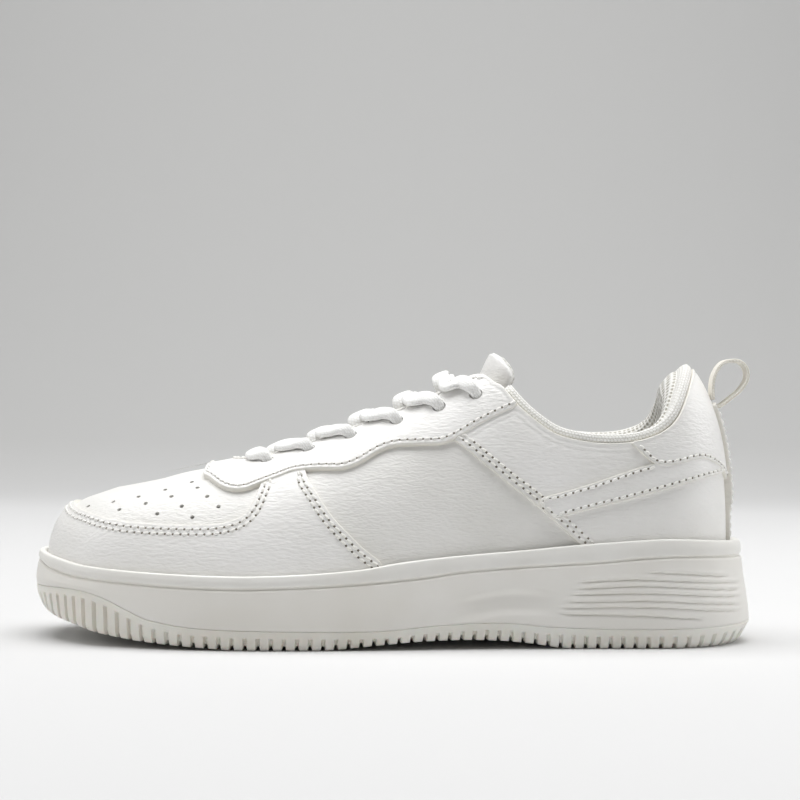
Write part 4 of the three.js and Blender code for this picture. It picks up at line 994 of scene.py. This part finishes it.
def wall_relief(x, z):
    """How far the moulded grooves at the heel and the scoop under the arch stand back or proud of the wall."""
    relief = np.zeros(x.shape)
    for line in LOUVRES:
        (x0, _), _, (x1, _) = line
        centre = smooth(line, x)
        shown = ease(x0 - 2, x0 + 7, x) * (1 - ease(x1 - 3, x1 + 3, x))
        gap = z - centre
        relief -= shown * 0.85 * np.exp(-(gap / 0.42) ** 2)
        relief += shown * 0.3 * np.exp(-((gap - 1.0) / 0.6) ** 2)
    hollow = ease(18, 36, x) * (1 - ease(52, 70, x))
    centre = smooth([(20, 14), (45, 18.5), (68, 17.5)], x)
    relief -= 1.6 * hollow * np.exp(-((z - centre) / 4.0) ** 4)
    return relief


def midsole_rings():
    groove = smooth(RIM_GROOVE, sole_foot[:, 0])
    tread_top = smooth(TREAD_TOP, sole_foot[:, 0])
    rings = [sole_ring((3, 3, 6), TREAD_TOP, 0.2), sole_ring((5.2, 5.3, 10.7), TREAD_TOP, 0.1)]
    for t in np.linspace(0.03, 1, 50):
        offsets = (smooth([(0, 5.5), (0.38, 5.8), (0.7, 5.4), (1, 4.9)], t),
                   smooth([(0, 5.6), (0.38, 5.8), (0.7, 5.6), (1, 5.2)], t),
                   smooth([(0, 11), (0.38, 10), (0.7, 8.6), (1, 7.7)], t))
        ring = sole_ring(offsets, tread_top + (groove - 1.1 - tread_top) * t)
        ring += sole_out * wall_relief(ring[:, 0], ring[:, 2])[:, None]
        rings.append(ring)
    for d, lift in ((-0.25, -0.9), (-0.75, -0.6), (-1.05, -0.3), (-0.95, 0.0), (-0.6, 0.3), (-0.3, 0.6)):
        rings.append(sole_ring((4.9 + d, 5.2 + d, 7.7 + d), groove + lift))
    top = smooth(RIM_TOP, sole_foot[:, 0])
    for t in np.linspace(0, 1, 9):
        proud = 0.28 * math.sin(math.pi * t)
        ring = sole_ring((4.7 - 0.1 * t + proud, 5.0 - 0.1 * t + proud, 7.4 - 0.4 * t + proud),
                         groove + 0.8 + (top - 0.9 - groove - 0.8) * t)
        rings.append(ring)
    for d, lift in ((4.5, -0.5), (4.3, -0.2), (3.9, -0.04), (3.3, 0.0), (2.6, -0.05)):
        rings.append(sole_ring((d, d + 0.3, d + 2.3), top, lift))
    for d, lift in ((1.95, -0.3), (1.75, -1.0), (1.75, -6.0)):
        rings.append(sole_ring((d, d, d + 1.4), top, lift))
    rings.append(sole_ring((-1, -1, -1), CUP_FLOOR, -0.5))
    return rings


wall_rings = midsole_rings()
midsole = ring_body("midsole_foam_unit", wall_rings, [midsole_foam, rim_foam],
                    [1 if k > 56 else 0 for k in range(len(wall_rings))])
crisp(midsole, 60)
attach(midsole, "shoe")
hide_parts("midsole")


def outsole_rings():
    rings, reach = [], []
    tread = np.maximum(smooth(TREAD, sole_foot[:, 0]), 0)
    top = smooth(TREAD_TOP, sole_foot[:, 0])
    low = [(-3.0, -2.0, 0.0), (2.0, 3.4, 5.0), (2.5, 3.9, 5.7), (3.0, 4.3, 6.4), (3.6, 4.8, 7.4)]
    for offsets, lift in zip(low, (0.0, 0.05, 0.45, 1.1, 2.0)):
        rings.append(sole_ring(offsets, tread + lift))
        reach.append(np.ones(SOLE))
    slot_top = top - 2.9
    for t in np.linspace(0.12, 1, 16):
        z = tread + 2 + (top - 0.5 - tread - 2) * t
        offsets = (3.6 + 1.9 * math.sin(t * math.pi / 2), 4.8 + 0.8 * t, 7.4 + 3.6 * t)
        rings.append(sole_ring(offsets, z))
        reach.append(1 - ease(-0.5, 0.5, z - slot_top))
    for d, lift in ((5.55, -0.25), (5.4, 0.0), (3.0, 0.1)):
        rings.append(sole_ring((d, d + 0.1, d + 5.3), TREAD_TOP, lift))
        reach.append(np.zeros(SOLE))
    return rings, reach


def slot_tree():
    """Slots at a pitch along the edge of the outsole, cut in towards the foot between the lugs."""
    tree = bpy.data.node_groups.new("edge slots", "GeometryNodeTree")
    face = tree.interface
    face.new_socket("Geometry", in_out="INPUT", socket_type="NodeSocketGeometry")
    for name, value in (("Lug pitch", 5.2), ("Slot share", 0.27), ("Slot depth", 0.0017)):
        face.new_socket(name, in_out="INPUT", socket_type="NodeSocketFloat").default_value = value
    face.new_socket("Geometry", in_out="OUTPUT", socket_type="NodeSocketGeometry")
    size = add_node(tree, "NodeGroupInput").outputs
    way = add_node(tree, "GeometryNodeInputNamedAttribute", {"Name": "along_edge"}).outputs["Attribute"]
    reach = add_node(tree, "GeometryNodeInputNamedAttribute", {"Name": "slot_reach"}).outputs["Attribute"]
    inward = add_node(tree, "GeometryNodeInputNamedAttribute", {"Name": "inward"}, data_type="FLOAT_VECTOR")
    turns = math_node(tree, "FRACT", math_node(tree, "DIVIDE", way, size["Lug pitch"]))
    in_slot = math_node(tree, "GREATER_THAN", turns, math_node(tree, "SUBTRACT", 0.99, size["Slot share"]))
    depth = math_node(tree, "MULTIPLY", math_node(tree, "MULTIPLY", in_slot, reach), size["Slot depth"])
    push = add_node(tree, "ShaderNodeVectorMath", {0: inward.outputs["Attribute"], 3: depth}, operation="SCALE")
    moved = add_node(tree, "GeometryNodeSetPosition", {"Geometry": size["Geometry"], "Offset": push.outputs[0]})
    real = add_node(tree, "GeometryNodeRealizeInstances", {"Geometry": moved.outputs[0]})
    faced = add_node(tree, "GeometryNodeSetMaterial", {"Geometry": real.outputs[0], "Material": outsole_rubber})
    add_node(tree, "NodeGroupOutput", {"Geometry": faced.outputs[0]})
    return tree


rings, reach = outsole_rings()
outsole = ring_body("outsole_rubber_cup", rings, [outsole_rubber])
point_values(outsole, "along_edge", np.tile(np.arange(SOLE) * LUG_PITCH / 8, len(rings)))
point_values(outsole, "slot_reach", np.array(reach))
inward = np.tile(-sole_out, (len(rings), 1, 1))
inward[:4, :, 2] = np.array([1.0, 1.0, 0.8, 0.4])[:, None]
point_values(outsole, "inward", inward, "FLOAT_VECTOR")
run_tree(outsole, slot_tree())
crisp(outsole, 38)
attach(outsole, "shoe")
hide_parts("outsole")

# ---------------------------------------------------------------- Padded collar


def collar_edge():
    """Where the leather ends round the foot opening, as columns and rows."""
    shares = np.concatenate([np.linspace(0.618, 1, 92), np.linspace(1, 0.618, 92)[1:]])
    columns = np.concatenate([shares[:92] * SIDE, RING - shares[92:] * SIDE])
    rows = []
    for a in columns:
        line = on_upper(np.full(ROWS + 1, a), np.arange(ROWS + 1), 0)
        over = line[:, 2] - smooth([(26, 115)] + TOPLINE + [(124, 112)], line[:, 0])
        k = int(np.argmax((over > 0) & (np.arange(ROWS + 1) > 0.3 * ROWS)))
        rows.append(k - 1 + over[k - 1] / (over[k - 1] - over[k]))
    return columns, np.array(rows), shares


LINING_PROFILE = [(4.4, -24), (4.4, -14), (4.3, -4.4), (3.4, -2.0), (2.4, 0.0), (0.9, -0.05), (0.15, 0.6),
                  (0.4, 2.1), (1.3, 2.9), (2.4, 2.9), (3.1, 2.5), (4.2, 3.3), (6.0, 3.1), (8.4, 1.8),
                  (10.2, -1.4), (11.0, -5.0), (11.4, -9), (11.2, -13.4), (9.8, -18.6), (7.9, -23.2), (6, -24)]


def collar_rings():
    columns, rows, shares = collar_edge()
    for _ in range(3):
        rows[1:-1] = (rows[:-2] + rows[1:-1] * 2 + rows[2:]) / 4
    edge = on_upper(columns, rows, 0)
    out = facing(columns, rows)
    way = unit(np.gradient(edge, axis=0))
    up = unit(np.cross(out, way))
    up[up[:, 2] < 0] *= -1
    row_length = np.linalg.norm(on_upper(columns, rows - 1, 0) - edge, axis=1)
    profile = np.array(flowing(LINING_PROFILE + LINING_PROFILE[:1], 4)[:-1])
    pad = 0.2 + 0.8 * ease(0.65, 0.78, shares) + 0.75 * ease(0.84, 0.93, shares)
    deep = 0.14 + 0.86 * ease(0.64, 0.75, shares)
    rings = []
    stand_out = 1.3 * ease(0.66, 0.7, shares) + 1.2 * ease(0.8, 0.84, shares)
    for k in range(len(edge)):
        a = np.where(profile[:, 0] < 3.25, profile[:, 0], 3.25 + (profile[:, 0] - 3.25) * pad[k])
        b = np.where(profile[:, 1] > -4.6, profile[:, 1], -4.6 + (profile[:, 1] + 4.6) * deep[k])
        a = a - stand_out[k] * np.clip((3.3 - a) / 2.5, 0, 1) * ease(-1.5, 0.2, b)
        b = b + 0.6 * ease(0.2, 1.5, b)
        below = on_upper(np.full(len(a), columns[k]), rows[k] + np.minimum(b, 0) / row_length[k], -a)
        above = edge[k] - out[k] * a[:, None] + up[k] * b[:, None]
        rings.append(np.where((b < 0)[:, None], below, above))
    return np.array(rings), profile


rings, profile = collar_rings()
bead = [1 if (p[0] < 3.3 and p[1] > -0.5) else 0 for p in profile]
collar = tube("padded_collar", rings, [lining_mesh, collar_knit], bead)
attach(collar, "shoe")
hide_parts("collar_lining")

# ---------------------------------------------------------------- Tongue

TONGUE_LINE = [(-66, 59), (-50, 63.6), (-34, 69), (-19, 74.6), (-4, 80.8), (8, 85.6), (20, 90.6), (27.4, 95),
               (31.8, 100.6), (34.8, 106.6), (37.2, 112), (39.6, 116.6)]
TONGUE_HALF = [18, 20, 22, 23.5, 24, 24, 23, 22, 22, 22, 20.5, 16]
TONGUE_RADIUS = [32, 31, 30, 28, 25.5, 23, 20, 18.5, 18, 18, 19, 20]
TONGUE_PAD = 7.5


def on_tongue(j, w, d):
    """Points at distance w across the tongue and height d over its outer face, at station j along it."""
    spine = [(k, p[0]) for k, p in enumerate(TONGUE_LINE)]
    rise = [(k, p[1]) for k, p in enumerate(TONGUE_LINE)]
    x, z = smooth(spine, j), smooth(rise, j)
    dx = smooth(spine, min(j + 0.05, 11)) - smooth(spine, max(j - 0.05, 0))
    dz = smooth(rise, min(j + 0.05, 11)) - smooth(rise, max(j - 0.05, 0))
    tilt = unit(np.array([-dz, 0.0, dx]))
    radius = smooth(list(enumerate(TONGUE_RADIUS)), j)
    angle = np.asarray(w) / radius
    out = (radius + d) * np.cos(angle) - radius
    points = np.array([x, -1.0, z]) + tilt * out[:, None]
    points[:, 1] += (radius + d) * np.sin(angle)
    return points


def tongue_half_rings(upper):
    """One face of the padded tongue: it swells between its stitched rim and thins towards its sewn front end."""
    rings = []
    for j in np.linspace(0, 11, 120):
        thin = 0.55 + 0.45 * ease(0, 5, j)
        half = smooth(list(enumerate(TONGUE_HALF)), j)
        if j > 9.4:
            half = 22 * math.sqrt(1 - ((j - 9.4) / 1.63) ** 2.6)
        close = 1 - 0.35 * ease(10.7, 11.0, j)
        t = np.linspace(-1, 1, 41)
        w = half * np.sign(t) * np.abs(t) ** 0.8
        swell = np.maximum(0, 1 - np.abs(w / half) ** 3.6) ** (1 / 3.6) * close
        depth = TONGUE_PAD * thin / 2
        face = -depth + (depth * swell if upper else -depth * swell)
        middle = np.full(41, -depth + (0.1 if upper else -0.1))
        face = np.maximum(face, middle) if upper else np.minimum(face, middle)
        rings.append(np.concatenate([on_tongue(j, w, face), on_tongue(j, w[::-1] * 0.985, middle)]))
    return rings


tongue_top = tube("tongue_leather", tongue_half_rings(True), [smooth_leather])
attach(tongue_top, "tongue")
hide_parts("tongue_cover", "tongue_foam")
tongue_back = tube("tongue_mesh_lining", tongue_half_rings(False), [lining_mesh])
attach(tongue_back, "tongue")
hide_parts("tongue_lining")


def label_rings():
    rings = []
    for j in np.linspace(7.9, 8.9, 12):
        w = np.linspace(-9, 9, 15)
        face, back = on_tongue(j, w, np.full(15, 0.45)), on_tongue(j, w[::-1], np.full(15, -0.3))
        rings.append(np.concatenate([face, back]))
    return rings


label = tube("tongue_label_tab", label_rings(), [label_weave])
crisp(label, 40)
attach(label, "tongue")
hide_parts("tongue_label")

# ---------------------------------------------------------------- Lace

throat_half = [(-62, 4), (-58, 7.2), (-50, 9.2), (-20, 11.5), (10, 13), (34, 14.5)]
OVER = 4.0
UNDER = -5.2


def through_eyelet(k, side, down):
    x, y = EYELETS[k]
    points = [(x - 4.6, side * (y - 4.6), OVER, 1), (x - 1.1, side * (y - 1.3), OVER + 0.1, 0.3),
              (x + 0.2, side * y, 0.9, 0), (x, side * y, -2.7, 0), (x, side * (y - 1.2), UNDER - 0.5, 0),
              (x, side * (y - 5), UNDER, 1)]
    return points if down else points[::-1]


def crossing(k, side, upper):
    """From under one flap, over the tongue and the other strand, and slantwise up the other flap."""
    x0, x1 = EYELETS[k][0], EYELETS[k + 1][0]
    half = smooth(throat_half, (x0 + x1) / 2)

    def at(u, d):
        return (x0 + 1.5 + (x1 - x0 - 11) * (0.8 - u) / 1.95, side * u * half, d, 1)

    if upper:
        middle = [at(0.8, UNDER), at(0.52, 3), at(0, 4.3), at(-0.75, 4.4)]
    else:
        middle = [at(0.8, UNDER), at(0.5, -2.4), at(0, 0.6), at(-0.5, 0.5), at(-0.82, OVER),
                  at(-1.15, OVER + 0.2)]
    return middle + through_eyelet(k + 1, -side, True)


def strand(side, upper):
    points, now = [], side
    for k in range(len(EYELETS) - 1):
        points += crossing(k, now, upper == (k % 2 == 0))
        now = -now
    x, y = EYELETS[-1]
    turn = points.pop()
    return points + [(turn[0], now * (y + 1.2), turn[2], 0), (x - 1, now * (y + 5.5), UNDER - 0.4, 1),
                     (x - 1.5, now * (y + 9), UNDER - 1.4, 0)]


def lace_plan():
    x = EYELETS[0][0]
    half = smooth(throat_half, x)
    bar = [(x - 6, -half, OVER, 1), (x - 6.5, 0, OVER - 0.3, 1), (x - 6, half, OVER, 1)]
    return (strand(-1, True)[::-1] + through_eyelet(0, -1, False) + bar + through_eyelet(0, 1, True)
            + strand(1, False))


def lace_rings():
    plan = lace_plan()
    stops = []
    for x, y, d, _ in plan:
        a, b = find_on_upper(x, "y", max(0.02, abs(y)), y < 0)
        stops.append(on_upper(a, b, d))
    knots = [(*p, float(w[3])) for p, w in zip(stops, plan)]
    fine = np.array(flowing4(knots, 10))
    line, wide = fine[:, :3], np.clip(fine[:, 3], 0, 1)
    way = unit(np.gradient(line, axis=0))
    ahead = unit(np.array([1.0, 0.0, 0.42]))
    flat = ahead - way * (way @ ahead)[:, None]
    for _ in range(6):
        flat[1:-1] = (flat[:-2] + flat[1:-1] * 2 + flat[2:]) / 4
        wide[1:-1] = (wide[:-2] + wide[1:-1] * 2 + wide[2:]) / 4
    flat = unit(flat - way * (flat * way).sum(1)[:, None])
    thick = np.cross(flat, way)
    half_width = 2.1 + 1.5 * wide
    half_depth = 1.7 - 0.2 * wide
    turn = np.linspace(0, 2 * math.pi, 20, endpoint=False)
    c, s = np.cos(turn), np.sin(turn)
    u = np.sign(c) * np.abs(c) ** 0.75
    v = np.sign(s) * np.abs(s) ** 0.75
    rings = (line[:, None] + flat[:, None] * (u[None] * half_width[:, None])[..., None]
             + thick[:, None] * (v[None] * half_depth[:, None])[..., None])
    return rings


def flowing4(points, steps):
    p = np.array(points, dtype=float)
    p = np.concatenate([2 * p[:1] - p[1:2], p, 2 * p[-1:] - p[-2:-1]])
    line = []
    for k in range(1, len(p) - 2):
        for t in np.arange(steps) / steps:
            line.append(0.5 * (2 * p[k] + (p[k + 1] - p[k - 1]) * t
                               + (2 * p[k - 1] - 5 * p[k] + 4 * p[k + 1] - p[k + 2]) * t * t
                               + (3 * p[k] - p[k - 1] - 3 * p[k + 1] + p[k + 2]) * t ** 3))
    line.append(p[-2])
    return line


rings = lace_rings()
lace = tube("flat_lace", rings, [lace_cotton])
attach(lace, "shoe")
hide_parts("lace")

# ---------------------------------------------------------------- Pull loop

LOOP_OUT = [(129.5, 97.5), (129.2, 102), (129.7, 106.5), (131.3, 110.5), (134, 113.4), (137.7, 114.4),
            (141.3, 114), (144.1, 111.6), (145.1, 108), (144.3, 104.4), (141.5, 100.6), (137.7, 97.4),
            (133.9, 94.6), (131.3, 93.8)]


def loop_rings():
    """Webbing folded on itself: its faces are flat, its woven edges are round, and it has a band's thickness."""
    outer = np.array(flowing(LOOP_OUT, 8))
    way = unit(np.gradient(outer, axis=0))
    inward = np.stack([way[:, 1], -way[:, 0]], 1)
    turn = np.linspace(0, 2 * math.pi, 28, endpoint=False)
    c, s = np.cos(turn), np.sin(turn)
    v = np.sign(s) * np.abs(s) ** 0.25 * 4.9
    n = np.sign(c) * np.abs(c) ** 0.6 * 0.75
    rings = []
    for p, q in zip(outer, inward):
        centre = p + q * 0.8
        rings.append([[centre[0] + q[0] * m, w, centre[1] + q[1] * m] for w, m in zip(v, n)])
    return rings


loop = tube("pull_loop_webbing", loop_rings(), [webbing])
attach(loop, "loop")
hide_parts("pull_loop")

# ---------------------------------------------------------------- Hidden and inner pieces keep their own shape

for name, material in (("eyestay_backing_lateral", lining_felt), ("eyestay_backing_medial", lining_felt),
                       ("toe_puff", board_fibre), ("heel_counter", board_fibre), ("collar_foam", cut_foam),
                       ("sole_insert", cut_foam), ("strobel_board", board_fibre), ("insole", cut_foam),
                       ("insole_cover", lining_felt), ("aglet_1", tip_film),
                       ("aglet_2", tip_film)):
    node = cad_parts[name]
    node.data.materials.clear()
    node.data.materials.append(material)

# ---------------------------------------------------------------- Floor, light and camera


def sweep_floor():
    """A pale floor that curves up into a backdrop behind the shoe, its paper painted darker further back as
    painted shade.
    """
    profile = [(-3.0, 0.0), (1.1, 0.0)]
    for k in range(1, 25):
        t = k / 24 * math.pi / 2
        profile.append((1.1 + 1.2 * math.sin(t), 1.2 - 1.2 * math.cos(t)))
    profile.append((2.3, 5.0))
    points, faces = [], []
    for y, z in profile:
        points += [(-4.0, y, z), (4.0, y, z)]
    for k in range(len(profile) - 1):
        faces.append([2 * k, 2 * k + 1, 2 * k + 3, 2 * k + 2])
    mesh = bpy.data.meshes.new("studio_sweep")
    mesh.from_pydata(points, [], faces)
    mesh.polygons.foreach_set("use_smooth", [True] * len(mesh.polygons))
    floor = bpy.data.objects.new("studio_sweep", mesh)
    bpy.context.scene.collection.objects.link(floor)
    shaded_paper, tree, shader = plain_material("studio paper", 0.9, 1.45)
    place = add_node(tree, "ShaderNodeTexCoord").outputs["Object"]
    far = add_node(tree, "ShaderNodeSeparateXYZ", {0: place}).outputs[1]
    # The paper is painted darker further back and up the curve: painted shade for the light falling off towards
    # the backdrop.
    tree.links.new(two_tone(tree, math_node(tree, "MULTIPLY", far, 0.5), "#D9D9D9", "#C4C4C3", 0.45, 0.72),
                   shader.inputs["Base Color"])
    mesh.materials.append(shaded_paper)


def area_light(name, place, aim, width, height, power):
    lamp = bpy.data.lights.new(name, "AREA")
    lamp.shape = "RECTANGLE"
    lamp.size = width
    lamp.size_y = height
    lamp.energy = power
    obj = bpy.data.objects.new(name, lamp)
    obj.location = place
    obj.rotation_euler = (Vector(aim) - Vector(place)).to_track_quat("-Z", "Y").to_euler()
    bpy.context.scene.collection.objects.link(obj)


sweep_floor()
area_light("overhead softbox", (0.0, 0.05, 1.5), (0, 0, 0), 1.8, 1.2, 30.0)
area_light("front fill", (-0.5, -1.9, 0.9), (0, 0, 0.05), 1.6, 1.2, 1.0)
area_light("heel side softbox", (1.3, 0.1, 0.7), (0.1, 0, 0.05), 0.8, 0.8, 6.0)
area_light("toe side softbox", (-1.3, -0.2, 0.8), (-0.1, 0, 0.05), 0.8, 0.8, 4.0)
area_light("backdrop light", (0.0, 1.15, 1.7), (0, 2.3, 0.8), 2.4, 0.6, 15.5)
world = bpy.data.worlds.new("studio air")
world.use_nodes = True
world.node_tree.nodes["Background"].inputs["Color"].default_value = (1, 1, 1, 1)
world.node_tree.nodes["Background"].inputs["Strength"].default_value = 0.11
bpy.context.scene.world = world
bpy.context.scene.view_settings.view_transform = "Standard"

lens = bpy.data.cameras.new("camera")
lens.lens = 88.0
lens.sensor_width = 36.0
lens.sensor_fit = "HORIZONTAL"
camera = bpy.data.objects.new("camera", lens)
stand = (np.array([2.7, -800.0, 96.5]) + SHIFT) / 1000
camera.matrix_world = (Matrix.Translation(Vector(stand)) @ Matrix.Rotation(math.radians(-0.45), 4, "Y")
                       @ Matrix.Rotation(math.radians(90), 4, "X"))
bpy.context.scene.collection.objects.link(camera)
bpy.context.scene.camera = camera
